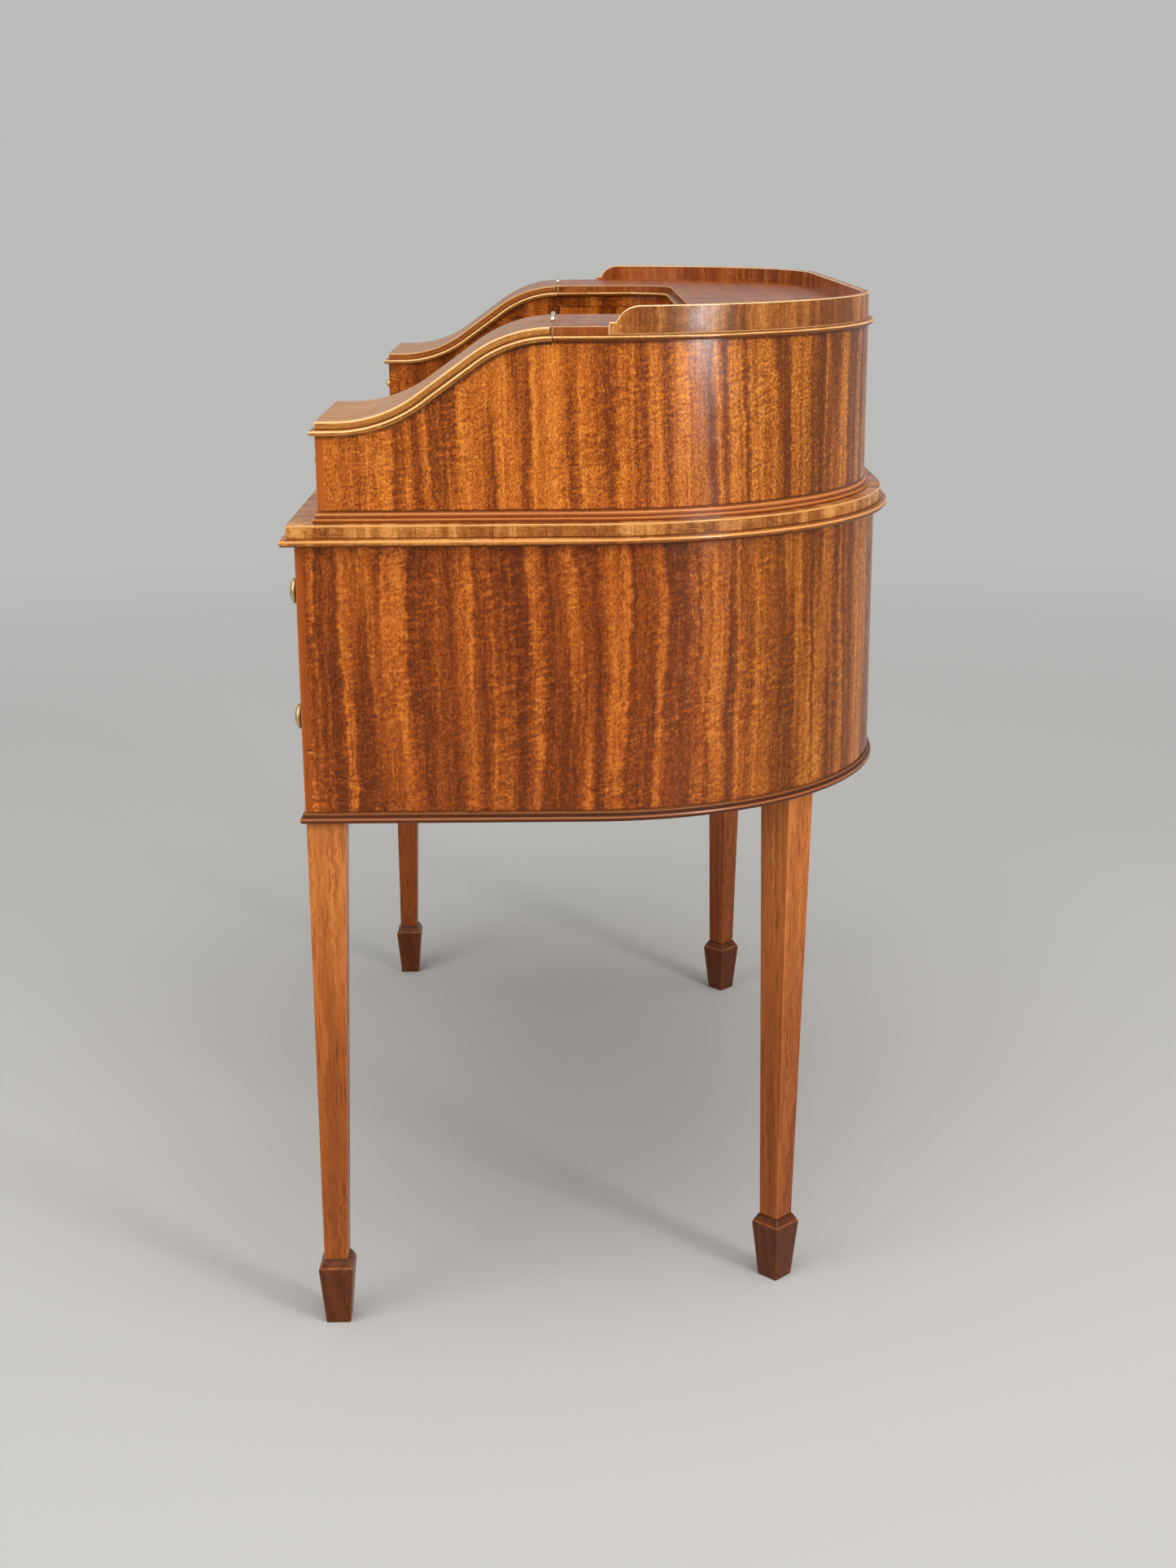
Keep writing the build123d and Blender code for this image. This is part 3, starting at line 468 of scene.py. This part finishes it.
# Woods. Colours are linear, from the darkest tone to the lightest. Of the other values, ribbon,
# figure, pores and stipple say how strongly the stripes, the cross ripples, the open pores and
# the fine golden grain show, and width says how many stripes there are to a metre, near enough.
# share is low where the light stripes are wide, and ground is the tone of the dark ones. On the
# walls, crisp and fall say how much stronger and darker the figure is behind. A wood that has
# only its colours is laid over another's grain.
WOODS = {
    "figured": {
        "stops": [(0.0, (0.095, 0.018, 0.0020)), (0.30, (0.185, 0.036, 0.0035)),
                  (0.58, (0.335, 0.071, 0.0060)), (1.0, (0.66, 0.192, 0.024))],
        "ribbon": 0.56, "share": 0.40, "width": 64, "figure": 0.56, "pores": 0.18,
        "stipple": 0.84, "ground": 0.205, "crisp": 1.0, "fall": 0.02},
    # Paler figured veneer for the upper wall: partly lighter wood, partly painted light from above.
    "figured_pale_and_lit": {
        "stops": [(0.0, (0.13, 0.026, 0.0030)), (0.30, (0.29, 0.063, 0.0060)),
                  (0.58, (0.49, 0.127, 0.012)), (1.0, (0.80, 0.275, 0.040))],
        "ribbon": 0.62, "share": 0.345, "width": 60, "figure": 0.50, "pores": 0.18,
        "stipple": 1.0, "ground": 0.135, "crisp": 1.40, "fall": 0.14},
    "golden_figured": {
        "stops": [(0.0, (0.10, 0.024, 0.0025)), (0.30, (0.205, 0.050, 0.0045)),
                  (0.58, (0.355, 0.100, 0.009)), (1.0, (0.68, 0.255, 0.034))]},
    "crossband": {
        "stops": [(0.0, (0.11, 0.028, 0.005)), (0.35, (0.25, 0.074, 0.012)),
                  (0.65, (0.43, 0.150, 0.028)), (1.0, (0.72, 0.32, 0.085))],
        "ribbon": 0.52, "share": 0.39, "width": 50, "figure": 0.46, "pores": 0.24,
        "stipple": 0.50, "ground": 0.26},
    "straight": {
        "stops": [(0.0, (0.16, 0.035, 0.006)), (0.40, (0.33, 0.082, 0.013)),
                  (0.70, (0.47, 0.135, 0.025)), (1.0, (0.65, 0.220, 0.050))],
        "ribbon": 0.30, "share": 0.40, "width": 260, "figure": 0.0, "pores": 0.44,
        "stipple": 0.16, "ground": 0.35},
    "red": {
        "stops": [(0.0, (0.13, 0.026, 0.005)), (0.40, (0.29, 0.066, 0.010)),
                  (0.70, (0.42, 0.118, 0.023)), (1.0, (0.62, 0.23, 0.06))],
        "ribbon": 0.26, "share": 0.40, "width": 60, "figure": 0.30, "pores": 0.22,
        "stipple": 0.30, "ground": 0.30},
    "brown": {
        "stops": [(0.0, (0.10, 0.026, 0.005)), (0.35, (0.24, 0.072, 0.013)),
                  (0.65, (0.38, 0.130, 0.027)), (1.0, (0.64, 0.27, 0.070))]},
    "dark": {
        "stops": [(0.0, (0.035, 0.008, 0.002)), (0.40, (0.090, 0.021, 0.005)),
                  (0.70, (0.15, 0.038, 0.009)), (1.0, (0.34, 0.110, 0.034))],
        "ribbon": 0.18, "share": 0.40, "width": 150, "figure": 0.05, "pores": 0.24,
        "stipple": 0.20, "ground": 0.31},
    "golden": {
        "stops": [(0.0, (0.15, 0.042, 0.007)), (0.35, (0.36, 0.132, 0.024)),
                  (0.65, (0.62, 0.262, 0.055)), (1.0, (0.94, 0.60, 0.26))],
        "ribbon": 0.24, "share": 0.40, "width": 110, "figure": 0.20, "pores": 0.26,
        "stipple": 0.34, "ground": 0.28},
    "pale": {
        "stops": [(0.0, (0.26, 0.15, 0.075)), (0.45, (0.42, 0.27, 0.145)),
                  (0.75, (0.52, 0.36, 0.21)), (1.0, (0.60, 0.44, 0.28))],
        "ribbon": 0.25, "share": 0.40, "width": 120, "figure": 0.0, "pores": 0.30,
        "stipple": 0.10, "ground": 0.31},
}

# Scales of the noise in the woods, per metre across the grain, along it and into the wood, and
# how far the slow wander and the fine wobble push the stripes aside.
WANDER_SCALE, WANDER_REACH = (6, 3.4, 6), 26 * MM
WOBBLE_SCALE, WOBBLE_REACH = (46, 88, 46), 10 * MM
FLAME_SCALE = (92, 285, 92)
PATCH_SCALE = (19, 11, 19)
STIPPLE_SCALE = (560, 400, 560)
STREAK_SCALE = (1100, 30, 1100)
CLOUD_SCALE = (3.1, 2.2, 3.1)
LIPPING_SCALE = (500, 9, 500)
BOX_SCALE = (150, 5, 150)

# Scales of the noise in the other surfaces, per metre every way.
POLISH_SWELL, POLISH_WEAR = 16, 48
BRASS_CLOUD, BRASS_SPECKS, BRASS_PITS = 140, 900, 700
HIDE_CLOUD, HIDE_CELLS, GILT_WEAR = 9, 620, 900


def wood_tone(shader, place, look, seed):
    """How light the wood is at a place, from 0 to 1, and where its open pores are."""
    spot = shader.node("VectorMath", {0: place, 1: (seed, seed * 0.37, seed * 0.71)},
                       operation="ADD").outputs[0]
    across, along, into = shader.split(spot)
    wander = shader.times(shader.swing(spot, WANDER_SCALE), WANDER_REACH)
    wobble = shader.times(shader.swing(spot, WOBBLE_SCALE, detail=4, roughness=0.68), WOBBLE_REACH)
    stripes = shader.vector(shader.add(across, wander, wobble), along, into)
    width, share = look["width"], look["share"]
    broad = shader.step(shader.noise(stripes, (width, 2.0, 14), detail=1), share, share + 0.20)
    thin = shader.step(shader.noise(stripes, (width * 2.8, 3.5, 30)), 0.38, 0.66)
    ribbon = shader.add(shader.times(broad, 0.66), shader.times(thin, 0.42))
    lean = shader.vector(across, shader.add(along, shader.times(across, 0.16)), into)
    flame = shader.noise(lean, FLAME_SCALE, detail=4, roughness=0.60, distortion=0.8)
    patches = shader.step(shader.noise(spot, PATCH_SCALE, detail=3), 0.42, 0.62, 0.25, 1.0)
    ripple = shader.times(shader.minus(shader.step(flame, 0.38, 0.66), 0.45), patches)
    stipple = shader.swing(spot, STIPPLE_SCALE, roughness=0.7)
    pores = shader.step(shader.noise(spot, STREAK_SCALE), 0.50, 0.72)
    cloud = shader.swing(spot, CLOUD_SCALE)
    tone = shader.add(look["ground"], shader.times(ribbon, look["ribbon"]),
                      shader.times(ripple, look["figure"] * 0.62),
                      shader.times(stipple, look["stipple"] * 1.6),
                      shader.times(pores, -look["pores"]), shader.times(cloud, 0.30))
    return tone, pores


def wood_colour(shader, tone, kind):
    return shader.ramp(tone, WOODS[kind]["stops"])


def polish(shader, colour, pores, gloss=0.34, coat=0.31, coat_roughness=0.11):
    """Old polish over wood: a clear coat that isn't quite flat, over a satin ground."""
    spot = shader.object_place()
    swell = shader.noise(spot, POLISH_SWELL, detail=3)
    height = shader.minus(shader.times(swell, 0.10), shader.times(pores, 0.05))
    wear = shader.noise(spot, POLISH_WEAR, detail=4)
    rough = shader.step(wear, 0.3, 0.75, gloss - 0.05, gloss + 0.12)
    haze = shader.step(wear, 0.35, 0.75, coat_roughness, coat_roughness + 0.12)
    shader.finish({"Base Color": colour, "Roughness": rough, "Specular IOR Level": 0.06,
                   "Coat Weight": coat, "Coat Roughness": haze, "Coat IOR": 1.5,
                   "Normal": shader.bump(height, 0.5, 1.2 * MM),
                   "Coat Normal": shader.bump(height, 0.35, 1.2 * MM)})


def line_tone(shader, y, z, marks):
    """Dark or light lines and soft bands along the sides of a piece, none on its level faces. Most
    paint highlights on rounded edges and shade in joints.

    Each mark says what is measured and the place in metres, then a width and a softness in
    millimetres and a tone."""
    if not marks:
        return 0.0
    measured = {"y": y, "z": z}
    if any(mark[0] == "lid" for mark in marks):
        measured["lid"] = lid_depth(shader, y, z)
    total = 0.0
    for what, place, width, soft, tone in marks:
        away = shader.apart(measured[what], place)
        half = width * MM / 2
        total = shader.add(total, shader.step(away, half, half + soft * MM, tone, 0.0))
    return shader.times(total, shader.under(turned_up(shader), 0.95))


def make_wood(name, kind, grain, seed=0.0, lighten=0.0, marks=(), inner=0.0, **finish):
    """A polished wood whose grain runs as one of the grain functions says."""
    material, shader = new_material(name)
    x, y, z = shader.split(shader.object_place())
    tone, pores = wood_tone(shader, grain(shader, x, y, z), WOODS[kind], seed)
    tone = shader.add(tone, lighten, line_tone(shader, y, z, marks))
    # Painted shade on the faces that look towards the desk's middle.
    if inner:
        tone = shader.add(tone, shader.times(turned_in(shader, x), inner))
    polish(shader, wood_colour(shader, tone, kind), pores, **finish)
    return material


# Old cracks and a chip in the right-hand wall of the case: how far behind the front and how
# high the middle of each lies, half its length, half its height and its tone.
CASE_FLAWS = [
    (14 * MM, CASE_TOP_Z - 75 * MM, 0.6 * MM, 8 * MM, -0.9),
    (6 * MM, CASE_LOW_Z + 58 * MM, 3.4 * MM, 0.7 * MM, -1.4),
    (7 * MM, CASE_LOW_Z + 55.6 * MM, 2.4 * MM, 0.8 * MM, 1.6),
    (3 * MM, CASE_LOW_Z + 36 * MM, 0.7 * MM, 7 * MM, -1.2),
]


def flaw_tone(shader, x, y, z, front, flaws):
    """How much darker or lighter the flaws make the right-hand wall."""
    total = 0.0
    for behind, height, half_length, half_height, tone in flaws:
        away = shader.larger(
            shader.math("DIVIDE", shader.apart(y, front + behind), half_length),
            shader.math("DIVIDE", shader.apart(z, height), half_height))
        total = shader.add(total, shader.step(away, 0.6, 1.1, tone, 0.0))
    return shader.times(total, shader.over(x, 0.0))


def lid_shadow(shader, y, z):
    """Painted shade in the joint under a lid, darkest by the hinge."""
    below = shader.step(lid_depth(shader, y, z), LID_THICKNESS + 1.5 * MM, LID_THICKNESS + 4 * MM,
                        1.0, 0.0)
    under_lid = shader.times(shader.under(y, LID_HINGE_Y), shader.over(z, LID_LOW_Z - BEAD))
    strength = shader.step(y, LID_HINGE_Y - 150 * MM, LID_HINGE_Y, 0.4, 0.95)
    return shader.times(below, under_lid, strength)


def make_wall_wood(name, kind, front, seed, marks, flaws=()):
    """The bent walls' figured veneer: golden behind, with a plain upright lipping in front."""
    material, shader = new_material(name)
    look = WOODS[kind]
    x, y, z = shader.split(shader.object_place())
    tone, pores = wood_tone(shader, grain_upright(shader, x, y, z), look, seed)
    lipping = shader.under(y, front + LIPPING)
    streaks = shader.swing(shader.vector(y, z, x), LIPPING_SCALE)
    plain = shader.add(0.50, shader.times(streaks, 0.5))
    tone = shader.add(shader.mix(lipping, tone, plain), line_tone(shader, y, z, marks),
                      flaw_tone(shader, x, y, z, front, flaws))
    crisp = shader.minus(shader.times(shader.minus(tone, 0.5), look["crisp"]), look["fall"] - 0.5)
    behind = shader.step(y, GOLDEN_FROM, GOLDEN_TO, 0.0, 0.75)
    colour = shader.mix(behind, wood_colour(shader, tone, kind),
                        wood_colour(shader, crisp, "golden_figured"))
    edge = shader.step(y, front + 1 * MM, front + 5 * MM, 0.75, 0.15)
    colour = shader.mix(shader.times(lipping, edge), colour, LIPPING_RED)
    # Painted shade in the joint under the lids.
    polish(shader, shader.mix(lid_shadow(shader, y, z), colour, JOINT_SHADOW), pores)
    return material


def make_lid_wood(name):
    """The lids: golden at the front and round the edges, browner above, redder by the well with
    painted shade.
    """
    material, shader = new_material(name)
    x, y, z = shader.split(shader.object_place())
    tone, pores = wood_tone(shader, grain_lid(shader, x, y, z), WOODS["golden"], seed=0.7)
    above = shader.over(turned_up(shader), 0.6)
    # A painted highlight along the top edge of the sides, and painted shade in the crease above the
    # bead.
    lines = line_tone(shader, y, z, [("lid", 0.0, 2.6, 0.6, 0.75),
                                     ("lid", LID_THICKNESS - BEAD, 0.8, 0.8, -0.8)])
    # Painted shade in the joint at the hinge.
    hinge_shade = line_tone(shader, y, z, [("y", LID_HINGE_Y, 2.4, 0.8, -1.6)])
    tone = shader.add(tone, 0.10, shader.times(lines, shader.minus(1.0, above)), hinge_shade)
    behind = shader.step(y, LID_FRONT_Y + 30 * MM, LID_HINGE_Y, 0.10, 0.90)
    colour = shader.mix(shader.times(above, behind), wood_colour(shader, tone, "golden"),
                        wood_colour(shader, tone, "brown"))
    # Redder wood with painted shade on the sides that face the well.
    red = wood_colour(shader, shader.minus(tone, 0.08), "red")
    polish(shader, shader.mix(shader.times(turned_in(shader, x), 0.6), colour, red), pores)
    return material


def make_gallery_wood(name):
    """The gallery: crossbanded veneer outside, redder wood inside and on its top edge."""
    material, shader = new_material(name)
    x, y, z = shader.split(shader.object_place())
    along, out = case_plan(shader, x, y)
    tone, pores = wood_tone(shader, shader.vector(along, z, out), WOODS["crossband"], seed=2.2)
    tone = shader.minus(tone, 0.05)
    outside = shader.over(out, GALLERY_RADIUS - 1 * MM)
    colour = shader.mix(outside, wood_colour(shader, tone, "red"),
                        wood_colour(shader, tone, "crossband"))
    polish(shader, colour, pores)
    return material


def make_drawer_wood(name, front_y, thickness, seed):
    """A drawer: a crossbanded and strung front of figured veneer, and a pale plain box."""
    material, shader = new_material(f"{name}_wood")
    low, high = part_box(name)
    x, y, z = shader.split(shader.object_place())
    from_side = shader.smaller(shader.minus(x, low.x), shader.minus(high.x, x))
    from_end = shader.smaller(shader.minus(z, low.z), shader.minus(high.z, z))
    inset = shader.smaller(from_side, from_end)
    in_band = shader.under(inset, FRONT_BAND)
    lengthwise, upright = shader.vector(z, x, y), shader.vector(x, z, y)
    band_place = shader.mix_vector(shader.under(from_side, from_end), upright, lengthwise)
    place = shader.mix_vector(in_band, lengthwise, band_place)
    tone, pores = wood_tone(shader, place, WOODS["figured"], seed)
    front = wood_colour(shader, shader.minus(tone, shader.times(in_band, 0.10)), "figured")
    on_string = shader.under(shader.apart(inset, FRONT_BAND + STRING), STRING / 2)
    front = shader.mix(on_string, front, STRING_COLOUR)
    box_grain = shader.noise(shader.vector(z, y, x), BOX_SCALE, detail=3)
    box = wood_colour(shader, shader.add(0.35, shader.times(box_grain, 0.4)), "pale")
    polish(shader, shader.mix(shader.over(y, front_y + thickness), front, box), pores)
    return material


# Grooves turned in the face of a large knob: the share of its radius and the width of each.
KNOB_GROOVES = ((0.30, 0.7 * MM), (0.42, 0.5 * MM), (0.78, 1.0 * MM))


def turned_grooves(shader, node):
    """Grooves turned round the middle of a large knob's face. A node may hold two knobs."""
    low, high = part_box(node)
    centre = (low + high) / 2
    radius = (high.z - low.z) / 2
    to_knob = (high.x - low.x) / 2 - radius
    place = shader.split(shader.object_place())
    across = shader.minus(shader.apart(place["X"], centre.x), to_knob)
    out = shader.length(across, shader.minus(place["Z"], centre.z))
    grooves = 0.0
    for share, width in KNOB_GROOVES:
        away = shader.apart(out, share * radius)
        grooves = shader.larger(grooves, shader.step(away, width / 3, width, 1.0, 0.0))
    return grooves


def make_brass(name, tarnish, clean, behind=0.0, knob=None):
    """Worn lacquered brass: bright where it is handled, brown in its hollows, and tarnished with
    painted shade behind.
    """
    material, shader = new_material(name)
    spot = shader.object_place()
    # Tarnish and painted shade on faces turned back towards the desk.
    facing_back = shader.step(shader.split(shader.object_normal())[1], -0.30, 0.35, 0.0, behind)
    cloud = shader.step(shader.noise(spot, BRASS_CLOUD, detail=4), 0.42, 0.72)
    speck = shader.step(shader.noise(spot, BRASS_SPECKS), 0.55, 0.75)
    dull = shader.larger(shader.times(shader.larger(cloud, speck), tarnish), facing_back)
    colour = shader.mix(dull, clean, TARNISH)
    height = shader.times(shader.noise(spot, BRASS_PITS), 0.10)
    if knob:
        grooves = turned_grooves(shader, knob)
        colour = shader.mix(shader.times(grooves, 0.6), colour, TARNISH)
        height = shader.minus(height, grooves)
    shader.finish({"Base Color": colour, "Metallic": 1.0,
                   "Roughness": shader.step(dull, 0.0, 0.5, 0.18, 0.42),
                   "Normal": shader.bump(height, 0.8, 0.3 * MM)})
    return material


# Lines tooled in the leather: how far each lies inside the edge, and its width. They turn
# tightly at the front corners, and follow the leather's round corners behind.
TOOLED_LINES = ((14 * MM, 1.5 * MM), (18 * MM, 0.7 * MM))
FRONT_TURN = 4 * MM


def leather_inset(shader, spot):
    """How far inside the leather's edge a point lies."""
    low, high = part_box("writing_leather")
    centre, half = (low + high) / 2, (high - low) / 2
    x, y = shader.split(spot)[:2]
    radius = shader.step(shader.over(y, centre.y), 0.0, 1.0, FRONT_TURN, LEATHER_CORNER)
    past_x = shader.add(shader.minus(shader.apart(x, centre.x), half.x), radius)
    past_y = shader.add(shader.minus(shader.apart(y, centre.y), half.y), radius)
    corner = shader.length(shader.larger(past_x, 0.0), shader.larger(past_y, 0.0))
    inner = shader.smaller(shader.larger(past_x, past_y), 0.0)
    return shader.minus(radius, shader.add(corner, inner))


def make_leather(name):
    """Green hide with a fine grain, and two gilt lines tooled inside its edge."""
    material, shader = new_material(name)
    spot = shader.object_place()
    inset = leather_inset(shader, spot)
    gilt = 0.0
    for place, width in TOOLED_LINES:
        gilt = shader.larger(gilt, shader.under(shader.apart(inset, place), width / 2))
    gilt = shader.times(gilt, shader.step(shader.noise(spot, GILT_WEAR), 0.3, 0.6))
    cells = shader.node("TexVoronoi", {"Vector": shader.scaled(spot, HIDE_CELLS), "Scale": 1.0},
                        feature="DISTANCE_TO_EDGE").outputs["Distance"]
    cloud = shader.noise(spot, HIDE_CLOUD, detail=4)
    height = shader.minus(shader.step(cells, 0.0, 0.25), shader.times(gilt, 1.5))
    shader.finish({"Base Color": shader.mix(gilt, shader.ramp(cloud, HIDE), GILT),
                   "Metallic": shader.times(gilt, 0.8),
                   "Roughness": shader.step(cloud, 0.3, 0.7, 0.42, 0.58),
                   "Normal": shader.bump(height, 0.30, 0.3 * MM)})
    return material


# Dressing the model's own pieces

def dress(node, material, edge=None, bevel=0.0, limit=40):
    """Give a node its material and, where asked, softly worn edges of another material: mostly a
    lighter copy that paints a highlight on the edges as well as their wear.
    """
    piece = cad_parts[node]
    piece.data.materials.clear()
    piece.data.materials.append(material)
    if bevel:
        piece.data.materials.append(edge or material)
        weld = piece.modifiers.new("weld", "WELD")
        weld.merge_threshold = 0.01 * MM
        edges = piece.modifiers.new("worn_and_highlit_edges", "BEVEL")
        edges.width = bevel
        edges.segments = 2
        edges.limit_method = "ANGLE"
        edges.angle_limit = radians(limit)
        edges.material = 1
        edges.use_clamp_overlap = True
        normals = piece.modifiers.new("even_normals", "WEIGHTED_NORMAL")
        normals.keep_sharp = True
        piece.data.shade_smooth()


def dress_walls(worn):
    """The bent walls of the case and the upper part."""
    # Painted shade in the joints under the top bead, under the cornice bead and, with dirt, above
    # the base board; a dark line at the foot of the case.
    case = make_wall_wood("case_wall", "figured", case_low.y, seed=7.1, marks=[
        ("z", CASE_TOP_Z, 1.5, 2, -0.5), ("z", CASE_LOW_Z, 1.5, 2, -0.5)], flaws=CASE_FLAWS)
    upper = make_wall_wood("upper_wall", "figured_pale_and_lit", UPPER_FRONT_Y, seed=8.8, marks=[
        ("z", BASE_TOP_Z, 1.5, 2, -0.9), ("z", CORNICE_Z, 2, 2, -0.4)])
    dress("case_rim", case, worn, 0.6 * MM)
    dress("upper_rim", upper, worn, 0.6 * MM)


def dress_tops(worn):
    """The boards that lie flat, and the gallery."""
    # The light lines paint highlights on the rounded edges; the dark ones paint shade in the
    # joints, at the hinge and under the base board.
    desk = make_wood("top_wood", "crossband", grain_desk_top, seed=7.7, lighten=0.15, marks=[
        ("z", DESK_Z, 2.4, 0.6, 0.65), ("z", CASE_TOP_Z + TOP_BEAD, 0.8, 0.8, -0.7)])
    flat = make_wood("flat_top_wood", "red", grain_flat_top, seed=1.9, marks=[
        ("y", LID_HINGE_Y, 2.4, 0.8, -0.9)])
    base = make_wood("base_wood", "red", grain_moulding, seed=8.8, lighten=0.05, marks=[
        ("z", DESK_Z, 1.2, 0.8, -1.2), ("z", DESK_Z + 3.0 * MM, 0.8, 0.5, 0.7),
        ("z", BASE_TOP_Z - 1.4 * MM, 0.8, 0.6, 0.6), ("z", DESK_Z + 4.4 * MM, 0.5, 0.5, -0.5)])
    dress("gallery", make_gallery_wood("gallery_wood"), worn, 0.9 * MM)
    dress("desk_top", desk, worn, 1.5 * MM)
    dress("upper_top", flat, worn, 0.8 * MM)
    dress("base_board", base, worn, 0.6 * MM)


def dress_mouldings(worn, moulding_wear_and_highlight):
    """The beads that follow the plan, with painted highlights along their rounds and painted shade
    in their joints.
    """
    top = make_wood("top_bead_wood", "crossband", grain_moulding, seed=6.1, lighten=0.04, marks=[
        ("z", CASE_TOP_Z + TOP_BEAD - 1.9 * MM, 1.0, 0.6, 0.95),
        ("z", CASE_TOP_Z, 1.8, 1.6, -0.5)])
    cornice = make_wood("cornice_wood", "golden", grain_moulding, seed=2.1, lighten=-0.26, marks=[
        ("z", CORNICE_Z + BEAD - 1.4 * MM, 0.8, 0.5, 0.75), ("z", CORNICE_Z, 1.2, 1.2, -0.5)])
    bottom = make_wood("bottom_moulding_wood", "dark", grain_moulding, seed=6.1, lighten=0.06,
                       marks=[("z", MOULDING_Z + BOTTOM_BEAD - 2.0 * MM, 0.9, 0.7, 0.9),
                              ("z", CASE_LOW_Z - 0.5 * MM, 0.6, 0.6, 0.8),
                              ("z", MOULDING_Z + BOTTOM_BEAD, 0.5, 0.6, -0.5)])
    dress("top_bead", top, moulding_wear_and_highlight, 0.3 * MM, 55)
    dress("cornice_bead", cornice, worn, 0.3 * MM, 55)
    dress("bottom_moulding", bottom, worn, 0.3 * MM, 55)


def dress_lids(worn):
    """The lids and the beads round three of their sides."""
    lid = make_lid_wood("lid_wood")
    # The edges are lighter and glossier for wear and a painted highlight.
    lid_wear_and_highlight = make_wood("lid_wear_and_highlight", "golden", grain_lid, seed=1.7, lighten=0.70, coat=0.8)
    # The bead's light lines at its top and foot are painted highlights.
    bead = make_wood("lid_bead_wood", "golden", grain_lid, seed=1.7, lighten=-0.10, marks=[
        ("lid", LID_THICKNESS - BEAD + 1.4 * MM, 0.9, 0.6, 0.75),
        ("lid", LID_THICKNESS - 0.8 * MM, 0.5, 0.5, 0.3)])
    for side in SIDES:
        dress(f"lid_{side}", lid, lid_wear_and_highlight, 1.5 * MM)
        dress(f"lid_bead_{side}", bead, worn, 0.3 * MM, 55)


def dress_legs():
    """The legs, lighter at the top and darker near the floor, and their dark feet."""
    height_tones = [("z", NECK_Z, 60, 320, -0.26), ("z", MOULDING_Z, 20, 260, 0.20)]
    # Faces turned to the desk's middle get painted shade; the lighter second wood gives the edges
    # wear and a painted highlight.
    leg, leg_wear_and_highlight = [make_wood(name, "straight", grain_z, seed=9.4, lighten=lighten, marks=height_tones,
                               inner=-0.17)
                     for name, lighten in (("leg_wood", 0.09), ("leg_wear_and_highlight", 0.24))]
    for row in ("front", "back"):
        for side in SIDES:
            dress(f"leg_{row}_{side}", leg, leg_wear_and_highlight, 0.9 * MM)
    # A painted highlight on the shoulder's round and painted shade at the neck.
    foot = make_wood("foot_wood", "dark", grain_z, seed=3.9, lighten=0.14, marks=[
        ("z", NECK_Z - FOOT_SHOULDER, 1.2, 1.0, 0.35), ("z", NECK_Z, 1.0, 1.2, -0.6)])
    # Lighter edges for wear and a painted highlight.
    foot_wear_and_highlight = make_wood("foot_wear_and_highlight", "dark", grain_z, seed=3.9, lighten=0.34)
    dress("spade_feet", foot, foot_wear_and_highlight, 1.0 * MM, 20)


def dress_inner_woods():
    """The kneehole, the wings' inner sides, the rails and shelves, and the corner doors."""
    inner = make_wood("inner_wood", "straight", grain_z, seed=2.9)
    for node in ("kneehole_sides", "wing_inner_sides"):
        dress(node, make_wood(f"{node}_wood", "figured", grain_z, seed=2.9), inner, 0.5 * MM)
    rail = make_wood("rail_wood", "straight", grain_x, seed=5.9)
    for node in ("drawer_rails", "wing_dividers", "bank_dividers"):
        dress(node, rail, rail, 0.4 * MM)
    dress("case_bottoms", make_wood("bottom_wood", "pale", grain_y, seed=1.1, coat=0.0, gloss=0.6))
    dress("inner_frieze", make_wood("frieze_wood", "figured", grain_well, seed=4.4), inner,
          0.4 * MM)
    for side in SIDES:
        door = make_wood(f"door_{side}_wood", "figured", grain_well, seed=6.6)
        dress(f"corner_door_{side}", door, inner, 0.5 * MM)


def dress_woods():
    """Every wooden node but the drawers."""
    # The edge woods are lighter copies that give the rounded edges wear and a painted highlight;
    # the moulding's, lighter and glossier still, is mostly painted highlight.
    worn = make_wood("upright_wear_and_highlight", "golden", grain_upright, seed=3.1, lighten=0.22)
    moulding_wear_and_highlight = make_wood("moulding_wear_and_highlight", "golden", grain_moulding, seed=4.2, lighten=0.60,
                              coat=0.8)
    dress_walls(worn)
    dress_tops(moulding_wear_and_highlight)
    dress_mouldings(worn, moulding_wear_and_highlight)
    dress_lids(worn)
    dress_legs()
    dress_inner_woods()


def dress_drawers():
    """Each drawer has its own veneer, so that no two fronts look alike."""
    large = [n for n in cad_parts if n.startswith("drawer_") and n != "drawer_rails"]
    for number, name in enumerate(sorted(large)):
        wood = make_drawer_wood(name, case_low.y, DRAWER_FRONT, seed=10 + number * 3.3)
        dress(name, wood, wood, 0.5 * MM)
    small = [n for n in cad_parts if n.startswith(("wing_drawer_", "bank_drawer_"))]
    for number, name in enumerate(sorted(small)):
        wood = make_drawer_wood(name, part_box(name)[0].y, SMALL_DRAWER_FRONT,
                                seed=40 + number * 2.7)
        dress(name, wood, wood, 0.4 * MM)


def dress_metal():
    """Brass hinges, pins and knobs."""
    worn = make_brass("brass_worn", tarnish=0.30, clean=WORN_BRASS)
    small = make_brass("brass_small_knobs", tarnish=0.30, clean=GOLDEN_BRASS)
    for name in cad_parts:
        if name.startswith(("lid_hinge", "door_pins")):
            dress(name, worn)
        elif name.startswith("large_knob"):
            dress(name, make_brass(f"brass_{name}", tarnish=0.34, clean=GOLDEN_BRASS, behind=0.92,
                                   knob=name))
        elif "knob" in name:
            dress(name, small)


make_world()
make_floor()
make_lamps()
make_camera()
dress_woods()
dress_drawers()
dress_metal()
dress("writing_leather", make_leather("leather"))
bpy.context.scene.view_settings.view_transform = "Standard"
